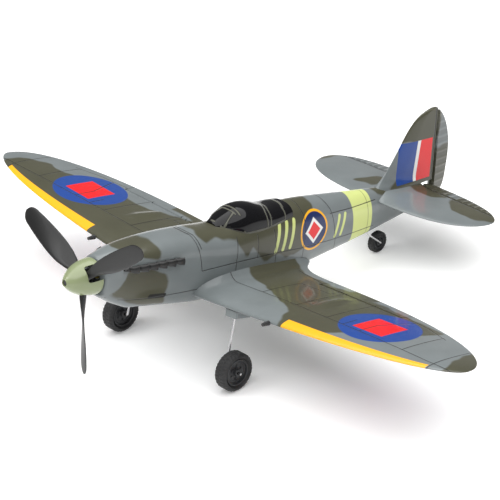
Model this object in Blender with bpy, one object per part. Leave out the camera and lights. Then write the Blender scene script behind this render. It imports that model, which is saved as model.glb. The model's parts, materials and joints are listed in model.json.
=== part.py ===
"""Foam remote-control warbird, 400 mm span, standing on its three wheels.

Shapes are written in millimetres in the airframe's own frame: x to port, y aft from the spinner's
tip, z up from the thrust line. An empty turns that frame nose-up until all three wheels stand on z = 0.
"""

import math

import bmesh
import bpy
from mathutils import Matrix, Vector

MM = 0.001
GAP = 0.3

# Airframe
SPAN = 398.0
HALF_SPAN = SPAN / 2
NOSE_Y = 21.8
TAIL_Y = 303.0
DIHEDRAL = math.radians(4.8)
WING_TIP_Y = 118.0
WING_FORWARD = 30.5
WING_AFT = 49.6
WING_ROOT_Z = -23.6
WING_INCIDENCE = math.radians(0.9)
WING_THICK = 0.098
SADDLE_HALF = 26.0
RUDDER_HINGE_Y = 304.0
ELEVATOR_HINGE_Y = 292.4
STAB_HALF = 71.5
STAB_TIP_Y = 281.7
ELEVATOR_IN = 3.6
ELEVATOR_OUT = 62.5
STAB_Z = 0.0
ELEVATOR_HINGE_Z = STAB_Z - 1.6

# Lines of the fuselage: (y, value)
TOP_LINE = [(21.8, 11.4), (30, 13.1), (42, 14.3), (58, 14.9), (75, 14.6), (95, 13.4), (112, 12.2),
            (150, 14.2), (172, 14.6), (187, 13.8), (205, 11.9), (230, 9.0), (255, 6.4), (280, 4.6),
            (303, 3.4)]
BELLY_LINE = [(21.8, -11.6), (29, -16.2), (36, -19.6), (42, -22.0), (86, -29.2), (105, -30.8),
              (135, -31.4), (165, -30.0), (190, -27.0), (215, -24.2), (240, -21.3), (265, -17.6),
              (285, -14.4), (303, -11.2)]
HALF_WIDTH = [(21.8, 11.4), (30, 12.8), (45, 14.4), (62, 15.4), (85, 16.3), (115, 16.9), (145, 16.5),
              (170, 15.2), (195, 13.2), (225, 10.4), (255, 7.2), (280, 4.8), (303, 2.8)]
WIDEST_Z = [(21.8, 0.0), (60, -3.0), (100, -6.0), (150, -7.0), (200, -6.5), (303, -4.5)]
UPPER_POWER = [(21.8, 2.0), (45, 2.6), (90, 2.6), (120, 2.3), (200, 2.1), (303, 2.0)]
KEEL_FLAT = [(21.8, 0.5), (42, 6.0), (86, 6.0), (150, 5.0), (230, 2.5), (303, 0.8)]
LOWER_POWER = 2.3
BAY_SPAN = (42.0, 86.0)
SLOT_ROOM = 0.5
TUNNEL_R = 1.3
STATIONS = [21.8, 25, 29, 35, 42, 58, 72, 86, 98, 110, 122, 136, 150, 162, 174, 187, 200, 215, 230, 245,
            260, 275, 290, 303]

# Undercarriage
MAIN_WHEEL_R = 11.8
MAIN_WHEEL_WIDTH = 9.0
MAIN_WHEEL_AT = Vector((50.0, 89.9, -57.6))
TAIL_WHEEL_R = 7.0
TAIL_WHEEL_WIDTH = 4.6
TAIL_WHEEL_AT = Vector((0.0, 259.9, -31.2))
TAIL_LEG_X = TAIL_WHEEL_WIDTH / 2 + 1.3
WHEEL_SIDES = 24
WIRE_R = 0.75
TAIL_WIRE_R = 0.6
AXLE_GAP = 0.4

# Propeller and drive
PROP_R = 57.5
PROP_PITCH = 150.0
PROP_Y = 14.6
PROP_PHASE = math.radians(35.5)
SPINNER_LENGTH = 20.6
SPINNER_R = 10.8
SCREW_SEAT_Y = 10.6
# Sections of a blade: (radius, chord, thickness)
BLADE_SECTIONS = [(3.2, 6.4, 4.6), (8.0, 6.6, 3.8), (12.5, 8.0, 2.8), (19, 10.8, 2.1), (28, 13.2, 1.7),
                  (38, 14.2, 1.5), (46, 13.4, 1.3), (52, 11.0, 1.1), (55.6, 7.4, 0.9), (57.2, 3.8, 0.7)]
# Outline of a blade's section, in shares of its chord and thickness
BLADE_OUTLINE = [(-0.5, 0.0), (-0.3, 0.36), (0.0, 0.5), (0.28, 0.34), (0.5, 0.0), (0.28, -0.26),
                 (0.0, -0.34), (-0.3, -0.24)]
SHAFT_R = 1.0
GEAR_MODULE = 0.3
SPUR_TEETH = 40
PINION_TEETH = 8
GEAR_Y = 30.5
GEAR_THICK = 2.6
BEARING_R = 2.5
PLATE_FRONT_Y = 24.4
PLATE_REAR_Y = 36.4
MOTOR_R = 4.25
MOTOR_LENGTH = 20.0
MOTOR_Y = 39.2
MOTOR_Z = -GEAR_MODULE * (SPUR_TEETH + PINION_TEETH) / 2

# Controls
LEVER_R = 6.0
LEVER_THICK = 1.2
LEVER_HUB_R = 2.2
LEVER_TIP_R = 1.7
ROD_R = 0.4
ROD_HOOK = 2.3
PIN_HOLE_R = 1.0
THROW_ROOM = 9.0
FLAP_DEPTH = 24.0
AILERON_IN = 50.0
AILERON_OUT = 120.0
AILERON_HINGE_IN_Y = 155.6
AILERON_HINGE_OUT_Y = 150.2
BEVEL_ANGLE = math.radians(28.0)

# Colours and finishes: (red, green, blue), roughness, metallic
FOAM_GREY = ((0.36, 0.38, 0.38), 0.45, 0.0)
FOAM_OLIVE = ((0.16, 0.15, 0.12), 0.45, 0.0)
SKY_GREEN = ((0.62, 0.68, 0.48), 0.35, 0.0)
BLACK_GLOSS = ((0.015, 0.015, 0.017), 0.12, 0.0)
BLACK_SATIN = ((0.03, 0.03, 0.03), 0.45, 0.0)
RUBBER = ((0.02, 0.02, 0.02), 0.8, 0.0)
STEEL = ((0.6, 0.6, 0.6), 0.3, 1.0)
BRASS = ((0.75, 0.55, 0.25), 0.3, 1.0)
WHITE_NYLON = ((0.8, 0.8, 0.78), 0.5, 0.0)
SERVO_BLUE = ((0.05, 0.12, 0.4), 0.4, 0.0)
PCB_GREEN = ((0.03, 0.2, 0.09), 0.4, 0.0)
SILVER_FOIL = ((0.55, 0.56, 0.58), 0.35, 0.6)
CARBON = ((0.02, 0.02, 0.022), 0.35, 0.0)


# ---------------------------------------------------------------- helpers

def line_through(points, straight=(0.0, 0.0)):
    """A smooth function through (y, value) points: a cubic with the slope of its neighbours at each.

    Between the two places named by straight, which are points of the line, it runs straight instead.
    """
    count = len(points)
    slopes = []
    for i in range(count):
        a = points[max(i - 1, 0)]
        b = points[min(i + 1, count - 1)]
        slopes.append((b[1] - a[1]) / (b[0] - a[0]))

    def value(y):
        if y <= points[0][0]:
            return points[0][1]
        for i in range(count - 1):
            y0, v0 = points[i]
            y1, v1 = points[i + 1]
            if y <= y1:
                h = y1 - y0
                t = (y - y0) / h
                if straight[0] <= y0 and y1 <= straight[1]:
                    return v0 + (v1 - v0) * t
                return ((2 * t**3 - 3 * t**2 + 1) * v0 + (t**3 - 2 * t**2 + t) * h * slopes[i]
                        + (3 * t**2 - 2 * t**3) * v1 + (t**3 - t**2) * h * slopes[i + 1])
        return points[-1][1]

    return value


def make_material(name, finish):
    colour, roughness, metallic = finish
    mat = bpy.data.materials.new(name)
    mat.use_nodes = True
    shader = mat.node_tree.nodes["Principled BSDF"]
    shader.inputs["Base Color"].default_value = (*colour, 1.0)
    shader.inputs["Roughness"].default_value = roughness
    shader.inputs["Metallic"].default_value = metallic
    mat.diffuse_color = (*colour, 1.0)
    return mat


def add_mesh(name, bm, finish=None, smooth=True):
    """Turns a bmesh in millimetres into an object of the airframe; without a finish, a hidden cutter."""
    bmesh.ops.scale(bm, vec=(MM, MM, MM), verts=bm.verts)
    bmesh.ops.recalc_face_normals(bm, faces=bm.faces)
    mesh = bpy.data.meshes.new(name)
    bm.to_mesh(mesh)
    bm.free()
    obj = bpy.data.objects.new(name, mesh)
    bpy.context.scene.collection.objects.link(obj)
    obj.parent = airframe
    if finish is None:
        obj.hide_render = True
        obj.display_type = "WIRE"
    else:
        mesh.materials.append(make_material(name, finish))
        if smooth:
            mesh.shade_smooth()
            mesh.set_sharp_from_angle(angle=math.radians(35))
    return obj


def boolean(obj, operation, other):
    modifier = obj.modifiers.new(operation.lower(), "BOOLEAN")
    modifier.operation = operation
    modifier.solver = "EXACT"
    modifier.object = other


def set_origin(obj, point):
    """Moves an object's origin to a point of the airframe and leaves its shape in place."""
    place = Vector(point) * MM
    obj.data.transform(Matrix.Translation(-place))
    obj.location = place


def loft(rings):
    """A closed solid through rings of the same number of points."""
    bm = bmesh.new()
    loops = [[bm.verts.new(point) for point in ring] for ring in rings]
    count = len(rings[0])
    for a, b in zip(loops, loops[1:]):
        for i in range(count):
            j = (i + 1) % count
            bm.faces.new((a[i], a[j], b[j], b[i]))
    bm.faces.new(loops[0][::-1])
    bm.faces.new(loops[-1])
    return bm


def block(low, high, bevel=0.0):
    """A box between two corners, its edges rounded off by one facet."""
    bm = bmesh.new()
    bmesh.ops.create_cube(bm, size=1.0)
    low = Vector(low)
    high = Vector(high)
    size = high - low
    bmesh.ops.scale(bm, vec=size, verts=bm.verts)
    bmesh.ops.translate(bm, vec=(low + high) / 2, verts=bm.verts)
    if bevel:
        bmesh.ops.bevel(bm, geom=bm.edges[:], offset=bevel, segments=1, affect="EDGES", profile=0.5)
    return bm


def rod(start, end, radius, sides=12, end_radius=None):
    """A straight round bar, or a cone if its end radius differs."""
    start = Vector(start)
    end = Vector(end)
    along = end - start
    bm = bmesh.new()
    bmesh.ops.create_cone(bm, cap_ends=True, segments=sides, radius1=radius,
                          radius2=radius if end_radius is None else end_radius, depth=along.length)
    turn = along.to_track_quat("Z", "Y").to_matrix().to_4x4()
    bmesh.ops.transform(bm, matrix=Matrix.Translation((start + end) / 2) @ turn, verts=bm.verts)
    return bm


def turned(profile, centre, axis, steps, closed=False, phase=0.0):
    """Spins a profile of (radius, distance along the axis) points; a closed one leaves a bore."""
    axis = Vector(axis).normalized()
    across = axis.orthogonal().normalized()
    across = Matrix.Rotation(phase, 3, axis) @ across
    centre = Vector(centre)
    bm = bmesh.new()
    verts = [bm.verts.new(centre + across * radius + axis * along) for radius, along in profile]
    edges = [bm.edges.new(pair) for pair in zip(verts, verts[1:])]
    if closed:
        edges.append(bm.edges.new((verts[-1], verts[0])))
    bmesh.ops.spin(bm, geom=verts + edges, cent=centre, axis=axis, angle=2 * math.pi, steps=steps,
                   use_merge=True)
    bmesh.ops.remove_doubles(bm, verts=bm.verts, dist=0.001)
    return bm


def plate(outline, thickness_axis, low, high):
    """Extrudes a closed outline along one axis: "x" takes (y, z) points, "z" takes (x, y)."""
    rings = []
    for level in (low, high):
        if thickness_axis == "x":
            rings.append([(level, a, b) for a, b in outline])
        else:
            rings.append([(a, b, level) for a, b in outline])
    return loft(rings)


def combine(*parts):
    """Puts several separate bmeshes into one."""
    target = parts[0]
    for extra in parts[1:]:
        mesh = bpy.data.meshes.new("joined")
        extra.to_mesh(mesh)
        extra.free()
        target.from_mesh(mesh)
        bpy.data.meshes.remove(mesh)
    return target


# ---------------------------------------------------------------- fuselage

top_z = line_through(TOP_LINE)
belly_z = line_through(BELLY_LINE, BAY_SPAN)
half_width = line_through(HALF_WIDTH)
widest_z = line_through(WIDEST_Z)
upper_power = line_through(UPPER_POWER)
keel_flat = line_through(KEEL_FLAT, BAY_SPAN)


def half_section(y, side, points=8):
    """Half of a cross-section, from the spine down to the keel, closed along the parting plane."""
    width = half_width(y)
    middle = widest_z(y)
    flat = keel_flat(y)
    ring = []
    for i in range(points):
        angle = math.pi / 2 * (1 - i / points)
        power = 2 / upper_power(y)
        ring.append((width * math.cos(angle)**power,
                     middle + (top_z(y) - middle) * math.sin(angle)**power))
    for i in range(points + 1):
        angle = math.pi / 2 * i / points
        power = 2 / LOWER_POWER
        ring.append((flat + (width - flat) * math.cos(angle)**power,
                     middle - (middle - belly_z(y)) * math.sin(angle)**power))
    ring.append((0.0, belly_z(y)))
    return [(side * max(x, GAP / 2), y, z) for x, z in ring]


def fuselage_half(name, side):
    return add_mesh(name, loft([half_section(y, side) for y in STATIONS]), FOAM_GREY)


# ---------------------------------------------------------------- wing

def wing_edges(x):
    """The leading and trailing edge of the elliptical wing at a distance x from the centreline."""
    u = min(abs(x) / HALF_SPAN, 1.0)
    lead = WING_TIP_Y - WING_FORWARD * math.sqrt(max(1 - u**2.6, 0.0))
    trail = WING_TIP_Y + WING_AFT * math.sqrt(max(1 - u**2.45, 0.0))
    return lead, trail


def section_point(t, thick, upper):
    """Height of a foam wing section at the share t of its chord, for a thickness share of that chord."""
    body = 5 * thick * (0.2969 * math.sqrt(t) - 0.126 * t - 0.3516 * t**2 + 0.2843 * t**3
                        - 0.1015 * t**4)
    return (1.16 if upper else -0.84) * body + 0.008 * (1 if upper else -1) * t


def wing_ring(x, swell=0.0, points=9):
    """The wing section at x, going back over the top and forward under the bottom."""
    lead, trail = wing_edges(x)
    chord = trail - lead
    thick = WING_THICK * (1 - 0.25 * abs(x) / HALF_SPAN)
    base = WING_ROOT_Z + abs(x) * math.tan(DIHEDRAL)
    ring = []
    shares = [(1 - math.cos(math.pi * i / points)) / 2 for i in range(points + 1)]
    for upper, walk in ((True, shares), (False, shares[::-1][:-1])):
        for t in walk:
            y = lead + chord * t
            z = base - (y - lead) * math.sin(WING_INCIDENCE) + chord * section_point(t, thick, upper)
            if swell:
                z += 0.0 if t == 0 else (swell if upper else -swell)
                y += -swell if t < 0.02 else (swell if t > 0.98 else 0.0)
            ring.append((x, y, z))
    return ring


def wing_bottom(x, y):
    lead, trail = wing_edges(x)
    chord = trail - lead
    thick = WING_THICK * (1 - 0.25 * abs(x) / HALF_SPAN)
    base = WING_ROOT_Z + abs(x) * math.tan(DIHEDRAL)
    share = (y - lead) / chord
    return base - (y - lead) * math.sin(WING_INCIDENCE) + chord * section_point(share, thick, False)


WING_STATIONS = [GAP / 2, 24, 48, 72, 96, 118, 138, 155, 168, 178, 186, 191, 195, 197.6, 198.8]


def wing_panel(side):
    return loft([wing_ring(side * x) for x in WING_STATIONS])


def aileron_axis(side):
    """The hinge line of an aileron, in the wing's lower skin, from its inboard to its outboard end."""
    ends = []
    for x, y in ((AILERON_IN, AILERON_HINGE_IN_Y), (AILERON_OUT, AILERON_HINGE_OUT_Y)):
        ends.append(Vector((side * x, y, wing_bottom(x, y))))
    return ends


def hinge_block(inner, outer, profile, margin):
    """A prism along a hinge line; its profile is (distance aft, height) from the hinge."""
    along = (outer - inner).normalized()
    up = Vector((0, 0, 1))
    up = (up - along * up.dot(along)).normalized()
    aft = Vector((0, 1, 0))
    aft = (aft - along * aft.dot(along) - up * aft.dot(up)).normalized()
    rings = []
    for end, sign in ((inner, -1), (outer, 1)):
        base = end + along * sign * margin
        rings.append([base + aft * a + up * h for a, h in profile])
    return loft(rings)


def bevelled():
    """Profile of a flap with a nose bevelled back from its hinge, so that it can swing upwards."""
    lean = THROW_ROOM * math.tan(BEVEL_ANGLE)
    return [(GAP, -THROW_ROOM), (GAP, 0.0), (GAP + lean, THROW_ROOM), (FLAP_DEPTH, THROW_ROOM),
            (FLAP_DEPTH, -THROW_ROOM)]


def squared():
    """Profile of the notch that a flap swings in."""
    return [(-GAP, -THROW_ROOM), (-GAP, THROW_ROOM), (FLAP_DEPTH, THROW_ROOM), (FLAP_DEPTH, -THROW_ROOM)]


# ---------------------------------------------------------------- tail surfaces

def stab_edges(x):
    u = min(abs(x) / STAB_HALF, 1.0)
    lead = STAB_TIP_Y - 32.5 * math.sqrt(max(1 - u**3.0, 0.0))
    trail = STAB_TIP_Y + 20.7 * math.sqrt(max(1 - u**3.4, 0.0))
    return lead, trail


def stab_ring(x, points=7):
    lead, trail = stab_edges(x)
    chord = trail - lead
    thick = 0.082 * (1 - 0.3 * abs(x) / STAB_HALF)
    shares = [(1 - math.cos(math.pi * i / points)) / 2 for i in range(points + 1)]
    ring = []
    for upper, walk in ((True, shares), (False, shares[::-1][:-1])):
        for t in walk:
            height = chord * section_point(t, thick, True) / 1.16
            ring.append((x, lead + chord * t, STAB_Z + (height if upper else -height)))
    return ring


STAB_STATIONS = [2.0, 12, 25, 38, 49, 58, 64.5, 68.8, 71.2]


def stab_solid():
    return loft([stab_ring(-x) for x in STAB_STATIONS[::-1]] + [stab_ring(x) for x in STAB_STATIONS])


# Edges of the fin and the rudder: (z, y)
FIN_LEAD = [(-4, 246.0), (4, 251.0), (9, 255.5), (14, 260.4), (19.2, 264.4), (28, 270.3), (37, 276.0),
            (44, 281.8), (48, 287.2), (50.6, 293.5), (51.4, 297.5)]
RUDDER_TRAIL = [(-11.0, 304.9), (-10.0, 308.8), (-7.0, 314.0), (-1, 317.0), (8, 318.0), (19, 318.4),
                (29, 317.2), (38, 314.2), (45, 310.2), (49.2, 306.2)]
FIN_LEVELS = [STAB_Z + GAP, 4, 9, 14, 20, 28, 37, 44, 48, 50.6, 51.4]
RUDDER_LEVELS = [-11, -10, -7, -1, 8, 19, 29, 38, 45, 49.2]
HEEL_ROOM = 3.5
fin_lead = line_through(FIN_LEAD)
rudder_trail = line_through(RUDDER_TRAIL)


def fin_ring(z, points=6):
    """Section of the fin from its leading edge to the rudder post."""
    lead = fin_lead(z)
    rear = RUDDER_HINGE_Y - 1.0
    chord = rear - lead
    half = 2.9 - 1.5 * max(z, 0) / 50
    shares = [(i / points)**1.6 for i in range(points + 1)]
    right = [(half * min(1.0, math.sqrt(2.6 * t)), lead + chord * t) for t in shares]
    return [(x, y, z) for x, y in right] + [(-x, y, z) for x, y in right[:0:-1]]


def rudder_ring(z, points=5):
    """Section of the rudder, from its bevelled nose to a thin trailing edge."""
    half = 2.8 - 1.45 * max(z, 0) / 50
    rear = rudder_trail(z)
    nose = RUDDER_HINGE_Y
    ring = [(0.35, nose + 0.1, z)]
    for i in range(points + 1):
        t = i / points
        y = nose + 1.6 + (rear - nose - 1.6) * t
        ring.append((half * (1 - t) + 0.45 * t, y, z))
    return ring + [(-x, y, height) for x, y, height in ring[::-1]]


# ---------------------------------------------------------------- canopy

# Lines of the canopy: (y, value)
CANOPY_TOP = [(111, 13.2), (115.5, 15.2), (120, 17.2), (124.5, 19.0), (127, 19.9), (131, 20.6),
              (136, 20.7), (141, 20.0), (146, 18.6), (148.4, 17.5), (150.4, 17.5), (151, 16.8),
              (160, 16.5), (166.4, 15.8), (168.6, 15.8)]
CANOPY_SILL = [(110, 11.0), (118, 9.4), (128, 6.2), (136, 5.4), (148, 5.6), (160, 7.4), (169, 8.8)]
CANOPY_WIDTH = [(111, 4.6), (115.5, 6.6), (120, 8.6), (127, 11.2), (136, 12.4), (148, 12.2),
                (160, 11.4), (168.6, 10.6)]
canopy_sill = line_through(CANOPY_SILL)
canopy_width = line_through(CANOPY_WIDTH)


def canopy_rings(grow, drop, points=10):
    """Arches of the canopy from sill to sill, swollen by grow and carried down by drop."""
    rings = []
    for y, top in CANOPY_TOP:
        width = canopy_width(y) + grow
        sill = canopy_sill(y) - drop
        ring = []
        for i in range(points + 1):
            angle = math.pi * i / points
            c = math.cos(angle)
            s = math.sin(angle)
            ring.append((math.copysign(width * abs(c)**0.85, c), y, sill + (top + grow - sill) * s**0.8))
        rings.append(ring)
    first = [(x, y - grow, z) for x, y, z in rings[0]]
    last = [(x, y + grow, z) for x, y, z in rings[-1]]
    return [first] + rings[1:-1] + [last]


# ---------------------------------------------------------------- build

def clear_scene():
    for obj in list(bpy.data.objects):
        bpy.data.objects.remove(obj, do_unlink=True)


def fuselage_openings():
    """The hollows of the hull: slots for wing and tail, seats, bays and holes."""
    fin_rings = []
    for level in (STAB_Z - 1, 4, 9, 14, 30):
        fin_rings.append([(x + math.copysign(GAP, x) if x else 0.0, y + 1 if y > 290 else y - 0.7, z)
                          for x, y, z in fin_ring(level)])
    tail_end = TAIL_Y + 3
    return {
        "wing_slot": loft([wing_ring(x, SLOT_ROOM) for x in (-30, -24, 0.01, 24, 30)]),
        "fin_slot": loft(fin_rings),
        "stab_slot": block((-20, 248.8, STAB_Z - 3.1), (20, tail_end, STAB_Z + 3.1)),
        "elevator_joiner": block((-20, ELEVATOR_HINGE_Y + 0.2, STAB_Z - 6.4), (20, tail_end, STAB_Z - 2)),
        "canopy_seat": loft(canopy_rings(GAP, GAP)),
        "battery_bay": sloped_block(-9.9, 9.9, 46.0, 84.6, 1.2, 9.2),
        "hatch": sloped_block(-8.8, 8.8, 44.0, 83.6, -6.0, 1.9),
        "drive_bay": block((-8.6, 23.6, -13.1), (8.6, 61.0, 7.4)),
        "nose_hole": rod((0, 15, 0), (0, 24.5, 0), 6.0, 16),
        "radio_bay": block((-11.2, 101.0, -16.8), (11.2, 160.0, 3.6)),
    }


def build_fuselage():
    left = fuselage_half("fuselage_left", 1)
    right = fuselage_half("fuselage_right", -1)
    for name, shape in fuselage_openings().items():
        cutter = add_mesh("cut_" + name, shape)
        boolean(left, "DIFFERENCE", cutter)
        boolean(right, "DIFFERENCE", cutter)
    leg_top = Vector((TAIL_LEG_X, 242.5, belly_z(243) + 5.0))
    leg_exit = Vector((TAIL_LEG_X, 246.5, belly_z(246) - 2.5))
    boolean(left, "DIFFERENCE", add_mesh("cut_tail_leg", rod(leg_top, leg_exit, 1.1, 12)))
    for start, end in (elevator_rod_line(), rudder_rod_line()):
        rear = end + (end - start).normalized() * 4
        tunnel = add_mesh("cut_rod_tunnel", rod(start.lerp(end, 0.1), rear, TUNNEL_R, 8))
        boolean(right, "DIFFERENCE", tunnel)


def sloped_block(x0, x1, y0, y1, low, high):
    """A block between two heights above the flat stretch of the belly that the battery hatch lies in."""
    z0 = belly_z(y0)
    z1 = belly_z(y1)
    rings = []
    for x in (x0, x1):
        rings.append([(x, y0, z0 + low), (x, y1, z1 + low), (x, y1, z1 + high), (x, y0, z0 + high)])
    return loft(rings)


def build_battery():
    add_mesh("battery", rounded_slope_block(-9.3, 9.3, 47.0, 82.4, 2.2, 8.6), SILVER_FOIL)
    hatch = add_mesh("battery_hatch", loft([both_sides(y, 1.0) for y in (40, 46, 60, 74, 84)]), BLACK_SATIN)
    keep = add_mesh("keep_hatch", sloped_block(-8.5, 8.5, 44.3, 83.3, -6.0, 1.6))
    boolean(hatch, "INTERSECT", keep)


def both_sides(y, scale):
    """The whole cross-section of the fuselage at y."""
    port = [(x * scale, y, z) for x, y, z in half_section(y, 1)]
    port[0] = (0.0, y, port[0][2])
    port[-1] = (0.0, y, port[-1][2])
    return port + [(-x, y, z) for x, y, z in port[-2:0:-1]]


def rounded_slope_block(x0, x1, y0, y1, low, high):
    bm = sloped_block(x0, x1, y0, y1, low, high)
    bmesh.ops.bevel(bm, geom=bm.edges[:], offset=1.2, segments=2, affect="EDGES", profile=0.5)
    return bm


def build_wing():
    for side, label in ((1, "left"), (-1, "right")):
        wing = add_mesh("wing_" + label, wing_panel(side), FOAM_GREY)
        inner, outer = aileron_axis(side)
        notch = add_mesh("cut_aileron_" + label, hinge_block(inner, outer, squared(), 0.4))
        boolean(wing, "DIFFERENCE", notch)
        joiner_slot = add_mesh("cut_joiner_" + label, block((-33, 108.7, -24.3), (33, 114.3, -22.6)))
        boolean(wing, "DIFFERENCE", joiner_slot)
        pocket = add_mesh("cut_servo_pocket_" + label, aileron_servo_box(side, GAP))
        boolean(wing, "DIFFERENCE", pocket)
        pivot = aileron_arm_point(side)
        middle = pivot + Vector((side * 0.8, 0, -0.5))
        room = Vector((1.8, 3.4, 3.5))
        boolean(wing, "DIFFERENCE", add_mesh("cut_arm_slot_" + label, block(middle - room, middle + room)))
        aileron = add_mesh("aileron_" + label, wing_panel(side), FOAM_GREY)
        keep = add_mesh("keep_aileron_" + label, hinge_block(inner, outer, bevelled(), -0.1))
        boolean(aileron, "INTERSECT", keep)
        set_origin(aileron, inner)
    add_mesh("wing_joiner", block((-32.5, 109.0, -24.0), (32.5, 114.0, -22.9)), CARBON)


AILERON_SERVO_X = 85.0
AILERON_SERVO_Y = 124.0


def aileron_servo_box(side, grow):
    """The servo lies on its side in the wing's lower skin, its output towards the tip."""
    bottom = wing_bottom(AILERON_SERVO_X, AILERON_SERVO_Y + 8)
    x = side * AILERON_SERVO_X
    return block((x - 6.0 - grow, AILERON_SERVO_Y - 8.0 - grow, bottom - 2.2 - grow),
                 (x + 6.0 + grow, AILERON_SERVO_Y + 8.0 + grow, bottom + 3.3 + grow), 0.0 if grow else 0.5)


def aileron_arm_point(side):
    """The servo's output, just outboard of its case."""
    bottom = wing_bottom(AILERON_SERVO_X, AILERON_SERVO_Y + 8)
    return Vector((side * (AILERON_SERVO_X + 6.4), AILERON_SERVO_Y - 3.5, bottom - 0.4))


def horn_point(side):
    inner, outer = aileron_axis(side)
    share = (AILERON_SERVO_X + 8.4 - AILERON_IN) / (AILERON_OUT - AILERON_IN)
    return inner.lerp(outer, share)


def lever(name, pivot, end, side):
    """A servo arm in a y-z plane from its pivot to a pin hole; side is the way its thickness goes."""
    outline = []
    for centre, radius, turn in ((pivot, LEVER_HUB_R, 0.0), (end, LEVER_TIP_R, math.pi)):
        for i in range(7):
            angle = turn + math.pi * i / 6
            outline.append((centre.y + radius * math.cos(angle), centre.z + radius * math.sin(angle)))
    arm = add_mesh(name, plate(outline, "x", pivot.x, pivot.x + side * LEVER_THICK), WHITE_NYLON)
    reach = Vector((3, 0, 0))
    boolean(arm, "DIFFERENCE", add_mesh("cut_pin_" + name, rod(end - reach, end + reach, PIN_HOLE_R, 8)))
    set_origin(arm, pivot)


def wire(name, points, radius, roundness=1):
    """Steel wire bent at each of its points."""
    curve = bpy.data.curves.new(name, "CURVE")
    curve.dimensions = "3D"
    curve.bevel_depth = radius * MM
    curve.bevel_resolution = roundness
    curve.use_fill_caps = True
    spline = curve.splines.new("POLY")
    spline.points.add(len(points) - 1)
    for slot, point in zip(spline.points, points):
        slot.co = (*(point * MM), 1.0)
    obj = bpy.data.objects.new(name, curve)
    bpy.context.scene.collection.objects.link(obj)
    obj.parent = airframe
    curve.materials.append(make_material(name, STEEL))


def pushrod(name, start, end, first_hook, last_hook):
    """A wire between two pin holes, its ends bent at right angles through them."""
    wire(name, [start + Vector(first_hook), start, end, end + Vector(last_hook)], ROD_R)


def elevator_rod_line():
    return Vector((-9.4, 110.0, -6.0)), Vector((-9.4, ELEVATOR_HINGE_Y, ELEVATOR_HINGE_Z - LEVER_R))


def rudder_rod_line():
    return Vector((-9.4, 134.0, -14.6)), Vector((-LEVER_R, RUDDER_HINGE_Y, -11.6))


def build_aileron_controls():
    for side, label in ((1, "left"), (-1, "right")):
        add_mesh("aileron_servo_" + label, aileron_servo_box(side, 0.0), SERVO_BLUE)
        pivot = aileron_arm_point(side)
        arm_end = pivot + Vector((0, 0, -LEVER_R))
        lever("aileron_servo_arm_" + label, pivot, arm_end, side)
        hinge = horn_point(side)
        tip = Vector((pivot.x, hinge.y, hinge.z - LEVER_R))
        build_aileron_horn(label, side, tip, hinge)
        outboard = Vector((side * ROD_HOOK, 0, 0))
        hook = Vector((-side * 2.0, 0, 0))
        pushrod("aileron_pushrod_" + label, arm_end + outboard, tip + outboard, hook, hook)


def build_aileron_horn(label, side, tip, hinge):
    """A moulded horn: a foot under the aileron and a blade that reaches forward to the hinge line."""
    foot_z = wing_bottom(abs(tip.x), hinge.y + 5) - GAP
    blade = [(hinge.y + 1.6, foot_z - 0.9), (hinge.y - 1.5, tip.z + 0.6), (hinge.y - 1.3, tip.z - 1.2),
             (hinge.y + 0.6, tip.z - 1.7), (hinge.y + 2.0, tip.z - 0.8), (hinge.y + 7.4, foot_z - 0.9)]
    middle = tip.x + side * LEVER_THICK / 2
    horn = add_mesh("aileron_horn_" + label, plate(blade, "x", tip.x, tip.x + side * LEVER_THICK), WHITE_NYLON)
    foot = block((middle - 2.6, hinge.y + 1.5, foot_z - 1.4), (middle + 2.6, hinge.y + 7.6, foot_z - 0.4))
    boolean(horn, "UNION", add_mesh("join_foot_" + label, foot))
    reach = Vector((3, 0, 0))
    boolean(horn, "DIFFERENCE", add_mesh("cut_horn_" + label, rod(tip - reach, tip + reach, PIN_HOLE_R, 8)))
    set_origin(horn, hinge)


def stab_bottom(x, y):
    """Height of the tailplane's lower skin."""
    lead, trail = stab_edges(x)
    chord = trail - lead
    thick = 0.082 * (1 - 0.3 * abs(x) / STAB_HALF)
    return STAB_Z - chord * section_point((y - lead) / chord, thick, True) / 1.16


def build_tail():
    stab = add_mesh("stabilizer", stab_solid(), FOAM_GREY)
    inner = Vector((ELEVATOR_IN, ELEVATOR_HINGE_Y, ELEVATOR_HINGE_Z))
    outer = Vector((ELEVATOR_OUT, ELEVATOR_HINGE_Y, ELEVATOR_HINGE_Z))
    for side, label in ((1, "left"), (-1, "right")):
        a = Vector((side * inner.x, inner.y, inner.z))
        b = Vector((side * outer.x, outer.y, outer.z))
        notch = add_mesh("cut_elevator_" + label, hinge_block(a, b, squared(), 0.5))
        boolean(stab, "DIFFERENCE", notch)
        elevator = add_mesh("elevator_" + label, stab_solid(), FOAM_OLIVE)
        keep = add_mesh("keep_elevator_" + label, hinge_block(a, b, bevelled(), 0.0))
        boolean(elevator, "INTERSECT", keep)
        set_origin(elevator, inner)
    rudder_gate = add_mesh("cut_rudder_gate", block((-3.2, ELEVATOR_HINGE_Y - 1, -8), (3.2, 330, 8)))
    boolean(stab, "DIFFERENCE", rudder_gate)
    fin_gate = add_mesh("cut_fin_gate", block((-3.3, 240, STAB_Z), (3.3, 330, 9)))
    boolean(stab, "DIFFERENCE", fin_gate)
    fin = add_mesh("fin", loft([fin_ring(z) for z in FIN_LEVELS]), FOAM_OLIVE)
    heel = block((-4, ELEVATOR_HINGE_Y - 1, STAB_Z - 1), (4, RUDDER_HINGE_Y, STAB_Z + HEEL_ROOM))
    boolean(fin, "DIFFERENCE", add_mesh("cut_fin_heel", heel))
    rudder = add_mesh("rudder", loft([rudder_ring(z) for z in RUDDER_LEVELS]), FOAM_OLIVE)
    set_origin(rudder, (0, RUDDER_HINGE_Y, 0))


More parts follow.
